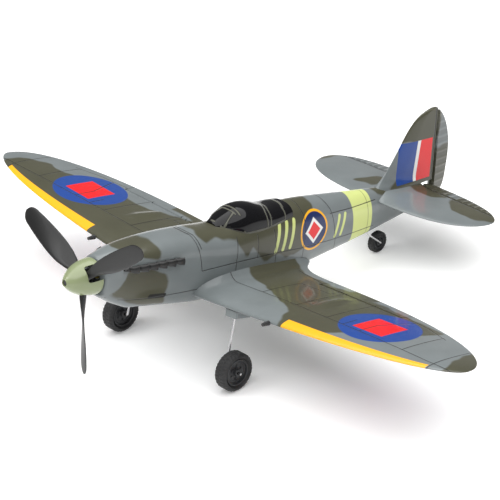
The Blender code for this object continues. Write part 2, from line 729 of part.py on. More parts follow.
def build_tail_controls():
    for name, rod_line in (("elevator", elevator_rod_line()), ("rudder", rudder_rod_line())):
        start, end = rod_line
        pivot = start + Vector((1.1, 0, LEVER_R))
        lever(name + "_servo_arm", pivot, pivot - Vector((0, 0, LEVER_R)), 1)
        add_mesh(name + "_servo", servo_case(pivot), SERVO_BLUE)
        last_hook = (ROD_HOOK, 0, 0) if name == "elevator" else (0, 0, ROD_HOOK)
        pushrod(name + "_pushrod", start, end, (ROD_HOOK, 0, 0), last_hook)
    build_elevator_horn(elevator_rod_line()[1])
    build_rudder_horn(rudder_rod_line()[1])


def servo_case(pivot):
    """A micro servo on its side, its output face towards the arm."""
    x = pivot.x + LEVER_THICK + GAP
    return block((x, pivot.y - 4.0, pivot.z - 3.2), (x + 13.0, pivot.y + 11.0, pivot.z + 3.2), 0.5)


def build_elevator_horn(end):
    """One moulding joins both elevators through the tail's slot and carries their horn to starboard."""
    y = ELEVATOR_HINGE_Y
    foot_z = stab_bottom(end.x, y + 1.6) + 0.2
    blade = [(y + 1.6, foot_z - 1.0), (y - 1.5, end.z + 0.6), (y - 1.3, end.z - 1.2),
             (y + 0.6, end.z - 1.7), (y + 2.0, end.z - 0.8), (y + 6.6, foot_z - 1.0)]
    low = end.x + 1.1
    horn = add_mesh("elevator_horn", plate(blade, "x", low, low + LEVER_THICK), WHITE_NYLON)
    joiner = block((-12, y + 1.5, foot_z - 1.5), (12, y + 5.4, foot_z - 0.5))
    boolean(horn, "UNION", add_mesh("join_elevators", joiner))
    reach = Vector((3, 0, 0))
    boolean(horn, "DIFFERENCE", add_mesh("cut_horn_elevator", rod(end - reach, end + reach, PIN_HOLE_R, 8)))
    set_origin(horn, (0, ELEVATOR_HINGE_Y, ELEVATOR_HINGE_Z))


def build_rudder_horn(end):
    """The horn stands out of the rudder's starboard side, its pin hole beside the hinge."""
    y = RUDDER_HINGE_Y
    z = end.z + 1.1
    foot_x = -3.1
    blade = [(foot_x - 0.9, y + 2.0), (end.x + 0.6, y - 1.5), (end.x - 1.2, y - 1.3), (end.x - 1.7, y + 0.6),
             (end.x - 0.8, y + 2.0), (foot_x - 0.9, y + 7.0)]
    horn = add_mesh("rudder_horn", plate(blade, "z", z, z + LEVER_THICK), WHITE_NYLON)
    foot = block((foot_x - 1.0, y + 1.9, z - 1.2), (foot_x - 0.1, y + 7.2, z + 3.4))
    boolean(horn, "UNION", add_mesh("join_foot_rudder", foot))
    reach = Vector((0, 0, 4))
    boolean(horn, "DIFFERENCE", add_mesh("cut_horn_rudder", rod(end - reach, end + reach, PIN_HOLE_R, 8)))
    set_origin(horn, (0, RUDDER_HINGE_Y, 0))


def build_canopy():
    canopy = add_mesh("canopy", loft(canopy_rings(0.0, 0.0)), BLACK_GLOSS)
    middle = 139.0
    inside = []
    for ring in canopy_rings(0.0, 6.0):
        inside.append([(x * 0.9, middle + (y - middle) * 0.95, z - (1.2 if z > 14 else 0.8))
                       for x, y, z in ring])
    boolean(canopy, "DIFFERENCE", add_mesh("cut_canopy", loft(inside)))


def build_exhausts():
    """Six ejector stubs on one strip each side, raked back against the cowling."""
    for side, label in ((1, "left"), (-1, "right")):
        rings = []
        for y in (31.0, 33.5, 46, 60, 74.5, 77.0):
            x = half_width(y) + 0.35
            z = 5.2 - (y - 31) * 0.045
            tall = 1.0 if y in (31.0, 77.0) else 1.7
            rings.append([(side * x, y, z - tall), (side * (x + 1.1), y, z - tall * 0.6),
                          (side * (x + 1.1), y, z + tall * 0.6), (side * x, y, z + tall)])
        strip = add_mesh("exhaust_" + label, loft(rings), BLACK_SATIN)
        stubs = []
        for i in range(6):
            y = 35.0 + i * 7.4
            x = half_width(y) + 0.9
            z = 5.4 - (y - 31) * 0.045
            start = Vector((side * x, y, z))
            end = start + Vector((side * 2.6, 4.6, -0.2))
            stubs.append(rod(start, end, 1.35, 8, 1.55))
        boolean(strip, "UNION", add_mesh("join_stubs_" + label, combine(*stubs)))


def build_guns():
    gun_x = 76.0
    lead, _ = wing_edges(gun_x)
    z = WING_ROOT_Z + gun_x * math.tan(DIHEDRAL)
    for side, label in ((1, "left"), (-1, "right")):
        start = Vector((side * gun_x, lead - GAP - 0.2, z))
        add_mesh("gun_" + label, rod(start, start + Vector((0, -5.0, 0)), 1.5, 10, 1.0), BLACK_SATIN)


# ---------------------------------------------------------------- propeller and drive

def blade_turn(i):
    """Turns the space of a blade that lies along x to the place of blade i."""
    return Matrix.Rotation(-(PROP_PHASE + i * 2 * math.pi / 3), 4, "Y")


def ogive(y):
    """Radius of the spinner at a distance y behind its tip."""
    t = y / SPINNER_LENGTH
    return SPINNER_R * (1 - (1 - t)**2.1)**0.72


def build_spinner():
    """A thin shell with three slots for the blades and a recess for its screw."""
    steps = 8
    places = [SPINNER_LENGTH * (i / steps)**1.3 for i in range(steps + 1)]
    outer = [(ogive(y), y) for y in places]
    inner = [(SPINNER_R - 1.2, SPINNER_LENGTH), (SPINNER_R - 1.5, 15.0), (SPINNER_R - 3.0, SCREW_SEAT_Y),
             (0.0, SCREW_SEAT_Y)]
    spinner = add_mesh("spinner", turned(outer + inner, (0, 0, 0), (0, 1, 0), 32), SKY_GREEN)
    slots = []
    for i in range(3):
        slot = block((7.0, PROP_Y - 3.6, -4.9), (14.0, SPINNER_LENGTH + 2, 4.9))
        bmesh.ops.transform(slot, matrix=blade_turn(i), verts=slot.verts)
        slots.append(slot)
    boolean(spinner, "DIFFERENCE", add_mesh("cut_blade_slots", combine(*slots)))
    boolean(spinner, "DIFFERENCE", add_mesh("cut_screw", rod((0, -1, 0), (0, 11, 0), 1.9, 12)))
    screw = [(0.0, 1.4), (1.2, 1.5), (1.5, 2.1), (1.5, 4.0), (0.9, 4.2), (0.9, 10.0), (0.0, 10.0)]
    add_mesh("spinner_screw", turned(screw, (0, 0, 0), (0, 1, 0), 12), BLACK_SATIN)


def blade_ring(r, chord, thick, turn):
    """A blade section at radius r, set at the angle that its pitch gives there, its hollow face aft."""
    angle = math.atan2(PROP_PITCH, 2 * math.pi * r)
    ring = []
    for a, b in BLADE_OUTLINE:
        u = a * chord
        v = b * thick
        side = u * math.cos(angle) - v * math.sin(angle)
        back = u * math.sin(angle) + v * math.cos(angle)
        ring.append(turn @ Vector((r, PROP_Y - back * 0.9, side)))
    return ring


def build_propeller():
    hub = add_mesh("propeller", rod((0, PROP_Y - 3.4, 0), (0, PROP_Y + 4.4, 0), 4.6, 16), BLACK_SATIN)
    for i in range(3):
        blade = loft([blade_ring(*section, blade_turn(i)) for section in BLADE_SECTIONS])
        boolean(hub, "UNION", add_mesh("join_blade", blade))
    boolean(hub, "DIFFERENCE", add_mesh("cut_hub_bore", rod((0, 5, 0), (0, 30, 0), SHAFT_R + GAP, 12)))
    add_mesh("prop_shaft", rod((0, 11.0, 0), (0, 44.0, 0), SHAFT_R, 12), STEEL)


def gear_outline(teeth, centre, phase):
    """Points (x, z) round a spur gear with straight-sided teeth."""
    pitch_r = GEAR_MODULE * teeth / 2
    tip = pitch_r + GEAR_MODULE * 0.9
    root = pitch_r - GEAR_MODULE * 1.2
    step = 2 * math.pi / teeth
    outline = []
    for i in range(teeth):
        for share, r in ((-0.3, root), (-0.12, tip), (0.12, tip), (0.3, root)):
            angle = phase + (i + share) * step
            outline.append((centre[0] + r * math.cos(angle), centre[1] + r * math.sin(angle)))
    return outline


def gear(teeth, centre, length, phase):
    """A solid spur gear from GEAR_Y back."""
    outline = gear_outline(teeth, centre, phase)
    return loft([[(x, y, z) for x, z in outline] for y in (GEAR_Y, GEAR_Y + length)])


def build_drive():
    """Motor and pinion under the propeller's shaft, which turns in two bearings of one moulded frame."""
    spur = add_mesh("spur_gear", gear(SPUR_TEETH, (0, 0), GEAR_THICK, math.pi / 2), WHITE_NYLON, False)
    boolean(spur, "DIFFERENCE", add_mesh("cut_spur_bore", rod((0, 20, 0), (0, 46, 0), SHAFT_R + GAP, 16)))
    mesh_phase = math.pi / 2 + math.pi / PINION_TEETH
    pinion_shape = gear(PINION_TEETH, (0, MOTOR_Z), GEAR_THICK + 1.4, mesh_phase)
    pinion = add_mesh("motor_pinion", pinion_shape, BRASS, False)
    shaft = rod((0, GEAR_Y + 1, MOTOR_Z), (0, MOTOR_Y - GAP, MOTOR_Z), 0.5, 8)
    boolean(pinion, "UNION", add_mesh("join_motor_shaft", shaft))
    set_origin(pinion, (0, GEAR_Y, MOTOR_Z))
    can = [(0.0, 0.0), (3.6, 0.0), (MOTOR_R, 0.6), (MOTOR_R, MOTOR_LENGTH - 1.4), (3.4, MOTOR_LENGTH),
           (0.0, MOTOR_LENGTH)]
    add_mesh("motor", turned(can, (0, MOTOR_Y, MOTOR_Z), (0, 1, 0), 20), STEEL)
    build_gearbox_frame()
    bearing = [(SHAFT_R + GAP, 0.0), (BEARING_R, 0.0), (BEARING_R, 2.3), (SHAFT_R + GAP, 2.3)]
    for name, y in (("bearing_front", PLATE_FRONT_Y), ("bearing_rear", PLATE_REAR_Y)):
        add_mesh(name, turned(bearing, (0, y, 0), (0, 1, 0), 14, closed=True), BRASS)


def build_gearbox_frame():
    """Two plates that hold the bearings, joined by rails, with a cup round the motor's front end."""
    front = block((-8.2, PLATE_FRONT_Y, -11.8), (8.2, PLATE_FRONT_Y + 2.5, 6.6), 0.5)
    frame = add_mesh("gearbox_frame", front, BLACK_SATIN)
    pieces = [block((-8.2, PLATE_REAR_Y, -11.8), (8.2, PLATE_REAR_Y + 2.2, 6.6))]
    for side in (-1, 1):
        pieces.append(block((side * 7.5 - 0.7, 26.0, -9.0), (side * 7.5 + 0.7, 37.0, 3.0)))
    inner = MOTOR_R + GAP
    outer = MOTOR_R + 1.3
    cup = [(inner, 0.0), (outer, 0.0), (outer, -7.0), (inner, -7.0)]
    pieces.append(turned(cup, (0, 45.0, MOTOR_Z), (0, 1, 0), 20, closed=True))
    for piece in pieces:
        boolean(frame, "UNION", add_mesh("join_gearbox", piece))
    boolean(frame, "DIFFERENCE", add_mesh("cut_bearings", rod((0, 20, 0), (0, 46, 0), BEARING_R + GAP, 14)))
    boolean(frame, "DIFFERENCE", add_mesh("cut_pinion", rod((0, 30, MOTOR_Z), (0, 40, MOTOR_Z), 2.2, 12)))


# ---------------------------------------------------------------- undercarriage

def wheel_tyre(name, centre, radius, width, hub_r, down):
    """A rubber tyre with a rounded shoulder and a flat tread, one facet square to the ground."""
    crown = radius / math.cos(math.pi / WHEEL_SIDES)
    half = width / 2
    side = [(hub_r, half * 0.8), (crown * 0.84, half), (crown * 0.97, half * 0.72), (crown, half * 0.36)]
    profile = [(r, -across) for r, across in side] + side[::-1]
    phase = down + math.pi / WHEEL_SIDES
    tyre = add_mesh(name, turned(profile, centre, (1, 0, 0), WHEEL_SIDES, closed=True, phase=phase), RUBBER)
    set_origin(tyre, centre)


def wheel_hub(name, centre, outer, width, bore):
    """A dished plastic hub with a raised boss round the axle."""
    half = width / 2
    side = [(bore, half * 0.95), (bore + 1.1, half * 0.95), (bore + 1.4, half * 0.5),
            (outer - 1.2, half * 0.5), (outer - 0.6, half * 0.78), (outer, half * 0.78)]
    profile = [(r, -across) for r, across in side] + side[::-1]
    hub = add_mesh(name, turned(profile, centre, (1, 0, 0), WHEEL_SIDES, closed=True), BLACK_SATIN)
    set_origin(hub, centre)


def rounded_corner(before, corner, after, radius, steps=3):
    """Points of a bend of the given size at a corner between two straight runs."""
    into = (before - corner).normalized()
    out = (after - corner).normalized()
    start = corner + into * radius
    end = corner + out * radius
    return [(1 - t)**2 * start + 2 * t * (1 - t) * corner + t**2 * end
            for t in (i / steps for i in range(steps + 1))]


def gear_seat(x, y):
    """The plastic block glued under the wing that holds the wire leg; its top follows the wing's skin."""
    rings = []
    for across in (-5.0, -4.2, 4.2, 5.0):
        lip = 0.8 if abs(across) > 4.5 else 0.0
        ring = []
        for aft, low in ((-4.0 + lip, False), (8.0 - lip, False), (8.0 - lip, True), (-4.0 + lip, True)):
            top = wing_bottom(abs(x + across), y + aft) - GAP - 0.2
            ring.append((x + across, y + aft, top - (4.4 - lip if low else 0.0)))
        rings.append(ring)
    return loft(rings)


def build_undercarriage():
    pitch = ground_pitch()
    down = math.pi / 2 + pitch
    for side, label in ((1, "left"), (-1, "right")):
        centre = Vector((side * MAIN_WHEEL_AT.x, MAIN_WHEEL_AT.y, MAIN_WHEEL_AT.z))
        wheel_tyre("tyre_" + label, centre, MAIN_WHEEL_R, MAIN_WHEEL_WIDTH, 8.2 + GAP, down)
        wheel_hub("wheel_" + label, centre, 8.2, MAIN_WHEEL_WIDTH, WIRE_R + AXLE_GAP)
        inner_x = side * (MAIN_WHEEL_AT.x - MAIN_WHEEL_WIDTH / 2 - 1.8)
        leg_y = 94.0
        mount_z = wing_bottom(abs(inner_x), leg_y)
        top = Vector((inner_x, leg_y, mount_z - 1.0))
        corner = Vector((inner_x, centre.y, centre.z))
        end = Vector((side * (MAIN_WHEEL_AT.x + MAIN_WHEEL_WIDTH / 2 + 1.6), centre.y, centre.z))
        wire("gear_leg_" + label, [top] + rounded_corner(top, corner, end, 1.6) + [end], WIRE_R, 2)
        seat = add_mesh("gear_block_" + label, gear_seat(inner_x, leg_y), BLACK_SATIN)
        hole = rod(top.lerp(corner, -0.2), corner, WIRE_R + GAP, 12)
        boolean(seat, "DIFFERENCE", add_mesh("cut_leg_hole_" + label, hole))
    wheel_tyre("tail_tyre", TAIL_WHEEL_AT, TAIL_WHEEL_R, TAIL_WHEEL_WIDTH, 4.4 + GAP, down)
    wheel_hub("tail_wheel", TAIL_WHEEL_AT, 4.4, TAIL_WHEEL_WIDTH, WIRE_R + AXLE_GAP)
    root = Vector((TAIL_LEG_X, 243.0, belly_z(243.0) + 4.0))
    skin = Vector((TAIL_LEG_X, 246.0, belly_z(246.0) - 1.6))
    corner = Vector((TAIL_LEG_X, TAIL_WHEEL_AT.y, TAIL_WHEEL_AT.z))
    end = Vector((-TAIL_WHEEL_WIDTH / 2 - 1.4, TAIL_WHEEL_AT.y, TAIL_WHEEL_AT.z))
    wire("tail_leg", [root, skin] + rounded_corner(skin, corner, end, 1.2) + [end], TAIL_WIRE_R, 2)


def build_radio():
    add_mesh("receiver_board", block((-1.0, 146.5, -14.8), (10.4, 158.4, -12.6), 0.3), PCB_GREEN)


def ground_pitch():
    """The nose-up angle at which the main and tail wheels touch one level floor."""
    drop = MAIN_WHEEL_AT.z - TAIL_WHEEL_AT.z
    reach = TAIL_WHEEL_AT.y - MAIN_WHEEL_AT.y
    lean = math.atan2(-drop, reach)
    return lean + math.asin((MAIN_WHEEL_R - TAIL_WHEEL_R) / math.hypot(drop, reach))


def stand_on_wheels():
    """Turns the airframe nose-up, sets its tyres on the floor and centres its length on the origin."""
    pitch = ground_pitch()
    airframe.rotation_euler = (-pitch, 0, 0)
    floor = MAIN_WHEEL_AT.z * math.cos(pitch) - MAIN_WHEEL_AT.y * math.sin(pitch) - MAIN_WHEEL_R
    rear = max(rudder_trail(z) * math.cos(pitch) + z * math.sin(pitch) for z in range(0, 45))
    airframe.location = (0, -rear / 2 * MM, -floor * MM)


clear_scene()
airframe = bpy.data.objects.new("airframe", None)
bpy.context.scene.collection.objects.link(airframe)
build_fuselage()
build_battery()
build_wing()
build_aileron_controls()
build_tail()
build_tail_controls()
build_canopy()
build_exhausts()
build_guns()
build_spinner()
build_propeller()
build_drive()
build_undercarriage()
build_radio()
stand_on_wheels()
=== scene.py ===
"""Looks of the foam warbird: painted skins, glazing, propeller, wheels, studio and camera.

Shapes are worked out in millimetres in the craft's own frame (x to port, y aft from the spinner's tip,
z up from the thrust line) and carried into the row frame by the propeller joint's place and axis.
"""

import json
import math

import bmesh
import bpy
import numpy as np
from mathutils import Matrix, Vector


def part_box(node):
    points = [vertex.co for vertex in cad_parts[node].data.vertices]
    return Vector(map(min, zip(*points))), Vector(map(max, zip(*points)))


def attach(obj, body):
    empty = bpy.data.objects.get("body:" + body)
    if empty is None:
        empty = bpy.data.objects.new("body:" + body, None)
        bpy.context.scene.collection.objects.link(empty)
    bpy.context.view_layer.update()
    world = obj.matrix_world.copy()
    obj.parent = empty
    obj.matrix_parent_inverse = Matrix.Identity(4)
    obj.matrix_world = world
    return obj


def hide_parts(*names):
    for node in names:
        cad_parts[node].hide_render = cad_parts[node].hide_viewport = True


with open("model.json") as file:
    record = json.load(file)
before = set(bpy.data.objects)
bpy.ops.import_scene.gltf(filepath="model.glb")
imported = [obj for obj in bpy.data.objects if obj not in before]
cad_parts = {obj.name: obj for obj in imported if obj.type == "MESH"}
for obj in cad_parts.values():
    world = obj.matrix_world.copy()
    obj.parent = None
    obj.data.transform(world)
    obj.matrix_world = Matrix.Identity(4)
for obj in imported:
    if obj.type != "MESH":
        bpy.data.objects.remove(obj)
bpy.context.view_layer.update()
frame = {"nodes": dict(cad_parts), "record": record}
MM = 0.001
ROOT = "airframe_body"
JOINTS = {joint["name"]: joint for joint in frame["record"]["behaviour"]["joints"]}
PROP_Y = 14.6


def craft_matrix():
    """The craft's frame, in millimetres, as the propeller's joint gives it."""
    aft = Vector(JOINTS["prop_spin"]["axis"]).normalized()
    port = Vector((1.0, 0.0, 0.0))
    up = port.cross(aft)
    origin = Vector(JOINTS["prop_spin"]["pos_m"]) - aft * PROP_Y * MM
    turn = Matrix((port, aft, up)).transposed().to_4x4()
    return Matrix.Translation(origin) @ turn @ Matrix.Scale(MM, 4)


CRAFT = craft_matrix()
TO_CRAFT = CRAFT.inverted()
SIDES = ((1, "left"), (-1, "right"))

# Driving sizes, the same as the solids'
HALF_SPAN = 199.0
DIHEDRAL = math.radians(4.8)
WING_TIP_Y = 118.0
WING_FORWARD = 30.5
WING_AFT = 49.6
WING_ROOT_Z = -23.6
WING_INCIDENCE = math.radians(0.9)
WING_THICK = 0.098
STAB_HALF = 71.5
STAB_TIP_Y = 281.7
STAB_Z = 0.0
ELEVATOR_IN = 3.6
ELEVATOR_OUT = 62.5
RUDDER_HINGE_Y = 304.0
ELEVATOR_HINGE = Vector((0.0, 292.4, STAB_Z - 1.6))
AILERON_IN = 50.0
AILERON_OUT = 120.0
BEVEL_LEAN = math.tan(math.radians(28.0))
BAY_SPAN = (42.0, 86.0)
BLADES = 3
PROP_PITCH = 150.0
PROP_PHASE = math.radians(35.5)
SPINNER_LENGTH = 20.6
SPINNER_R = 10.8
BLOCK_STEPS = 6
EXHAUST_FRONT = 33.0
EXHAUST_LENGTH = 41.5

# Paint, in linear colour; FAR_FROM_PAINT is a distance that no camouflage outline reaches
GREY = (0.165, 0.185, 0.188)
OLIVE = (0.068, 0.067, 0.043)
YELLOW = (0.90, 0.43, 0.015)
BLUE = (0.014, 0.058, 0.27)
NAVY = (0.010, 0.022, 0.10)
RED = (0.76, 0.012, 0.016)
WHITE = (0.80, 0.80, 0.78)
PALE_GREEN = (0.58, 0.64, 0.23)
SKY = (0.215, 0.25, 0.135)
# the dark of the panel and hinge lines, also used as painted shade in the rib troughs and the oval slot
DARK_LINE_AND_SHADE = (0.016, 0.016, 0.015)
FAR_FROM_PAINT = 60.0


# ---------------------------------------------------------------- curves and sections

def line_through(points, straight=(0.0, 0.0)):
    """A smooth function through (y, value) points, straight between the two places that straight names."""
    count = len(points)
    slopes = []
    for i in range(count):
        a = points[max(i - 1, 0)]
        b = points[min(i + 1, count - 1)]
        slopes.append((b[1] - a[1]) / (b[0] - a[0]))

    def value(y):
        if y <= points[0][0]:
            return points[0][1]
        for i in range(count - 1):
            y0, v0 = points[i]
            y1, v1 = points[i + 1]
            if y <= y1:
                h = y1 - y0
                t = (y - y0) / h
                if straight[0] <= y0 and y1 <= straight[1]:
                    return v0 + (v1 - v0) * t
                return ((2 * t**3 - 3 * t**2 + 1) * v0 + (t**3 - 2 * t**2 + t) * h * slopes[i]
                        + (3 * t**2 - 2 * t**3) * v1 + (t**3 - t**2) * h * slopes[i + 1])
        return points[-1][1]

    return value


top_z = line_through([(21.8, 11.4), (30, 13.1), (42, 14.3), (58, 14.9), (75, 14.6), (95, 13.4), (112, 12.2),
                      (150, 14.2), (172, 14.6), (187, 13.8), (205, 11.9), (230, 9.0), (255, 6.4), (280, 4.6),
                      (303, 3.4)])
belly_z = line_through([(21.8, -11.6), (29, -16.2), (36, -19.6), (42, -22.0), (86, -29.2), (105, -30.8),
                        (135, -31.4), (165, -30.0), (190, -27.0), (215, -24.2), (240, -21.3), (265, -17.6),
                        (285, -14.4), (303, -11.2)], BAY_SPAN)
half_width = line_through([(21.8, 11.4), (30, 12.8), (45, 14.4), (62, 15.4), (85, 16.3), (115, 16.9),
                           (145, 16.5), (170, 15.2), (195, 13.2), (225, 10.4), (255, 7.2), (280, 4.8),
                           (303, 2.8)])
widest_z = line_through([(21.8, 0.0), (60, -3.0), (100, -6.0), (150, -7.0), (200, -6.5), (303, -4.5)])
upper_power = line_through([(21.8, 2.0), (32, 2.4), (45, 2.9), (80, 2.9), (100, 2.6), (120, 2.3), (200, 2.1),
                            (303, 2.0)])
keel_flat = line_through([(21.8, 0.5), (42, 6.0), (86, 6.0), (150, 5.0), (230, 2.5), (303, 0.8)], BAY_SPAN)
LOWER_POWER = 2.3
RING_POINTS = 18


def fuselage_ring(y, grow=0.0):
    """The whole cross-section at y, from the spine round the port side to the keel and back."""
    width = half_width(y) + grow
    middle = widest_z(y)
    top = top_z(y) + grow
    bottom = belly_z(y) - grow
    flat = keel_flat(y)
    port = []
    for i in range(RING_POINTS):
        angle = math.pi / 2 * (1 - i / RING_POINTS)
        power = 2 / upper_power(y)
        port.append((width * math.cos(angle)**power, middle + (top - middle) * math.sin(angle)**power))
    for i in range(RING_POINTS + 1):
        angle = math.pi / 2 * i / RING_POINTS
        power = 2 / LOWER_POWER
        port.append((flat + (width - flat) * math.cos(angle)**power,
                     middle - (middle - bottom) * math.sin(angle)**power))
    port[0] = (0.0, top)
    port.append((0.0, bottom))
    return [(x, y, z) for x, z in port] + [(-x, y, z) for x, z in port[-2:0:-1]]


def wing_edges(x):
    """Leading and trailing edge of the plain planform."""
    u = min(abs(x) / HALF_SPAN, 1.0)
    lead = WING_TIP_Y - WING_FORWARD * math.sqrt(max(1 - u**2.6, 0.0))
    trail = WING_TIP_Y + WING_AFT * math.sqrt(max(1 - u**2.45, 0.0))
    return lead, trail


def root_sweep(x):
    """How far the trailing edge sweeps aft into the fillet at the fuselage."""
    return 17.0 * math.exp(-max(abs(x) - 14.0, 0.0) / 9.0)


def section_height(t, thick, upper):
    """Height of a cambered aerofoil at share t of its chord, as a share of the chord."""
    body = 5 * thick * (0.2969 * math.sqrt(t) - 0.126 * t - 0.3516 * t**2 + 0.2843 * t**3 - 0.1015 * t**4)
    return (1.16 if upper else -0.84) * body + 0.008 * (1 if upper else -1) * t


def wing_point(x, t, upper):
    """A point of the wing's skin at share t of its chord, with the root fillet and the gun-bay blister."""
    lead, trail = wing_edges(x)
    chord = trail - lead
    thick = WING_THICK * (1 - 0.25 * abs(x) / HALF_SPAN)
    base = WING_ROOT_Z + abs(x) * math.tan(DIHEDRAL)
    y = lead + chord * t
    z = base - (y - lead) * math.sin(WING_INCIDENCE) + chord * section_height(t, thick, upper)
    sweep = root_sweep(x) * t**3
    y += sweep
    side = half_width(min(max(y, 30.0), 250.0))
    near = max(0.0, 1 - max(abs(x) - side * 0.9, 0.0) / 9.0)
    if upper:
        z += 7.5 * near**2.6 * math.sin(math.pi * min(max(t, 0.0), 1.0))**0.5
        z += blister(abs(x), y)
    return Vector((x, y, z))


def blister(x, y):
    """The long teardrop bulge over each gun bay."""
    along = (y - 133.0) / 14.5
    if abs(along) >= 1:
        return 0.0
    half = 4.6 * math.sqrt(1 - along**2) * (1.0 - 0.35 * along)
    across = (x - 81.0 + (y - 133.0) * 0.05) / half
    if abs(across) >= 1:
        return 0.0
    return 1.5 * (1 - across**2) * (1 - along**2)**0.5


def wing_bottom(x, y):
    lead, trail = wing_edges(x)
    return wing_point(x, (y - lead) / (trail - lead), False).z


def aileron_axis(side):
    inner_y = 155.6
    outer_y = 150.2
    return (Vector((side * AILERON_IN, inner_y, wing_bottom(AILERON_IN, inner_y))),
            Vector((side * AILERON_OUT, outer_y, wing_bottom(AILERON_OUT, outer_y))))


def stab_edges(x):
    u = min(abs(x) / STAB_HALF, 1.0)
    lead = STAB_TIP_Y - 32.5 * math.sqrt(max(1 - u**3.0, 0.0))
    trail = STAB_TIP_Y + 20.7 * math.sqrt(max(1 - u**3.4, 0.0))
    return lead, trail


def stab_point(x, t, upper):
    lead, trail = stab_edges(x)
    chord = trail - lead
    thick = 0.082 * (1 - 0.3 * abs(x) / STAB_HALF)
    height = chord * section_height(t, thick, True) / 1.16
    z = STAB_Z + (height if upper else -height)
    y = lead + chord * t
    near = max(0.0, 1 - max(abs(x) - 4.5, 0.0) / 7.0)
    z += (1.0 if upper else -1.0) * 3.2 * near**2.4 * math.sin(math.pi * t)**0.5 * (1 - t)**0.3
    return Vector((x, y, z))


fin_lead = line_through([(-4, 246.0), (4, 251.0), (9, 255.5), (14, 260.4), (19.2, 264.4), (28, 270.3),
                         (37, 276.0), (44, 281.8), (48, 287.2), (50.6, 293.5), (51.4, 297.5)])
rudder_trail = line_through([(-11.0, 304.9), (-10.0, 308.8), (-7.0, 314.0), (-1, 317.0), (8, 318.0),
                             (19, 318.4), (29, 317.2), (38, 314.2), (45, 310.2), (49.2, 306.2)])


# ---------------------------------------------------------------- mesh tools

def piece_from(bm, name, body, material, replaces, smooth_angle):
    """Puts a bmesh in craft millimetres into the scene and stores its craft coordinates for the paint."""
    bmesh.ops.recalc_face_normals(bm, faces=bm.faces)
    mesh = bpy.data.meshes.new(name)
    bm.to_mesh(mesh)
    bm.free()
    craft = mesh.attributes.new("craft", "FLOAT_VECTOR", "POINT")
    craft.data.foreach_set("vector", places_of(mesh, "position").ravel())
    mesh.transform(CRAFT)
    mesh.materials.append(material)
    mesh.shade_smooth()
    mesh.set_sharp_from_angle(angle=math.radians(smooth_angle))
    obj = bpy.data.objects.new(name, mesh)
    bpy.context.scene.collection.objects.link(obj)
    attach(obj, body)
    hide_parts(*replaces)
    return obj


def places_of(mesh, name):
    """A vector attribute of the mesh's vertices, as rows of three."""
    places = np.empty(len(mesh.vertices) * 3, np.float32)
    mesh.attributes[name].data.foreach_get("vector", places)
    return places.reshape(-1, 3)


def store(obj, name, values):
    attribute = obj.data.attributes.new(name, "FLOAT", "POINT")
    attribute.data.foreach_set("value", values)


def paint_distance(obj, outlines, plane="top"):
    """Stores at each vertex its distance in mm to the camouflage's closed outlines, negative inside."""
    place = places_of(obj.data, "craft").astype(float)
    flat = place[:, [0, 1]] if plane == "top" else place[:, [1, 2]]
    result = np.full(len(flat), FAR_FROM_PAINT)
    for outline in outlines:
        result = np.minimum(result, outline_distance(flat, np.array(outline, float)))
    store(obj, "camo", result.astype(np.float32))


def outline_distance(points, outline):
    """Distance from each point to a closed outline, negative inside it."""
    inside = np.zeros(len(points), bool)
    nearest = np.full(len(points), 1e9)
    for a, b in zip(outline, np.roll(outline, -1, axis=0)):
        run = b - a
        share = np.clip(((points - a) @ run) / (run @ run), 0, 1)
        nearest = np.minimum(nearest, np.linalg.norm(points - a - share[:, None] * run, axis=1))
        crosses = (a[1] > points[:, 1]) != (b[1] > points[:, 1])
        with np.errstate(divide="ignore", invalid="ignore"):
            at = a[0] + (points[:, 1] - a[1]) / (b[1] - a[1]) * run[0]
        inside ^= crosses & (points[:, 0] < at)
    return np.where(inside, -nearest, nearest)


def loft(rings):
    """A closed solid through a row of rings, its two ends capped."""
    bm = bmesh.new()
    loops = [[bm.verts.new(point) for point in ring] for ring in rings]
    count = len(rings[0])
    for a, b in zip(loops, loops[1:]):
        for i in range(count):
            j = (i + 1) % count
            bm.faces.new((a[i], a[j], b[j], b[i]))
    bm.faces.new(loops[0][::-1])
    bm.faces.new(loops[-1])
    return bm


def surface_loft(point, stations, shares):
    """A closed wing-like solid from a point(x, share, upper) function."""
    return loft([[point(x, t, True) for t in shares] + [point(x, t, False) for t in shares[-2:0:-1]]
                 for x in stations])


def eased(count):
    """Shares from 0 to 1, closer together at both ends."""
    return [(1 - math.cos(math.pi * i / count)) / 2 for i in range(count + 1)]


def spread(start, end, count):
    return [start + (end - start) * i / count for i in range(count + 1)]


def block(low, high):
    bm = bmesh.new()
    bmesh.ops.create_cube(bm, size=1.0)
    low = Vector(low)
    high = Vector(high)
    bmesh.ops.scale(bm, vec=high - low, verts=bm.verts)
    bmesh.ops.translate(bm, vec=(low + high) / 2, verts=bm.verts)
    return bm


def cylinder(start, end, radius, sides=24):
    start = Vector(start)
    end = Vector(end)
    bm = bmesh.new()
    along = end - start
    bmesh.ops.create_cone(bm, cap_ends=True, segments=sides, radius1=radius, radius2=radius,
                          depth=along.length)
    turn = along.to_track_quat("Z", "Y").to_matrix().to_4x4()
    bmesh.ops.transform(bm, matrix=Matrix.Translation((start + end) / 2) @ turn, verts=bm.verts)
    return bm


def turned(profile, centre, axis, steps, closed=False):
    """Spins a profile of (radius, distance along the axis) points."""
    axis = Vector(axis).normalized()
    across = axis.orthogonal().normalized()
    centre = Vector(centre)
    bm = bmesh.new()
    verts = [bm.verts.new(centre + across * radius + axis * along) for radius, along in profile]
    edges = [bm.edges.new(pair) for pair in zip(verts, verts[1:])]
    if closed:
        edges.append(bm.edges.new((verts[-1], verts[0])))
    bmesh.ops.spin(bm, geom=verts + edges, cent=centre, axis=axis, angle=2 * math.pi, steps=steps,
                   use_merge=True)
    bmesh.ops.remove_doubles(bm, verts=bm.verts, dist=0.0005)
    return bm


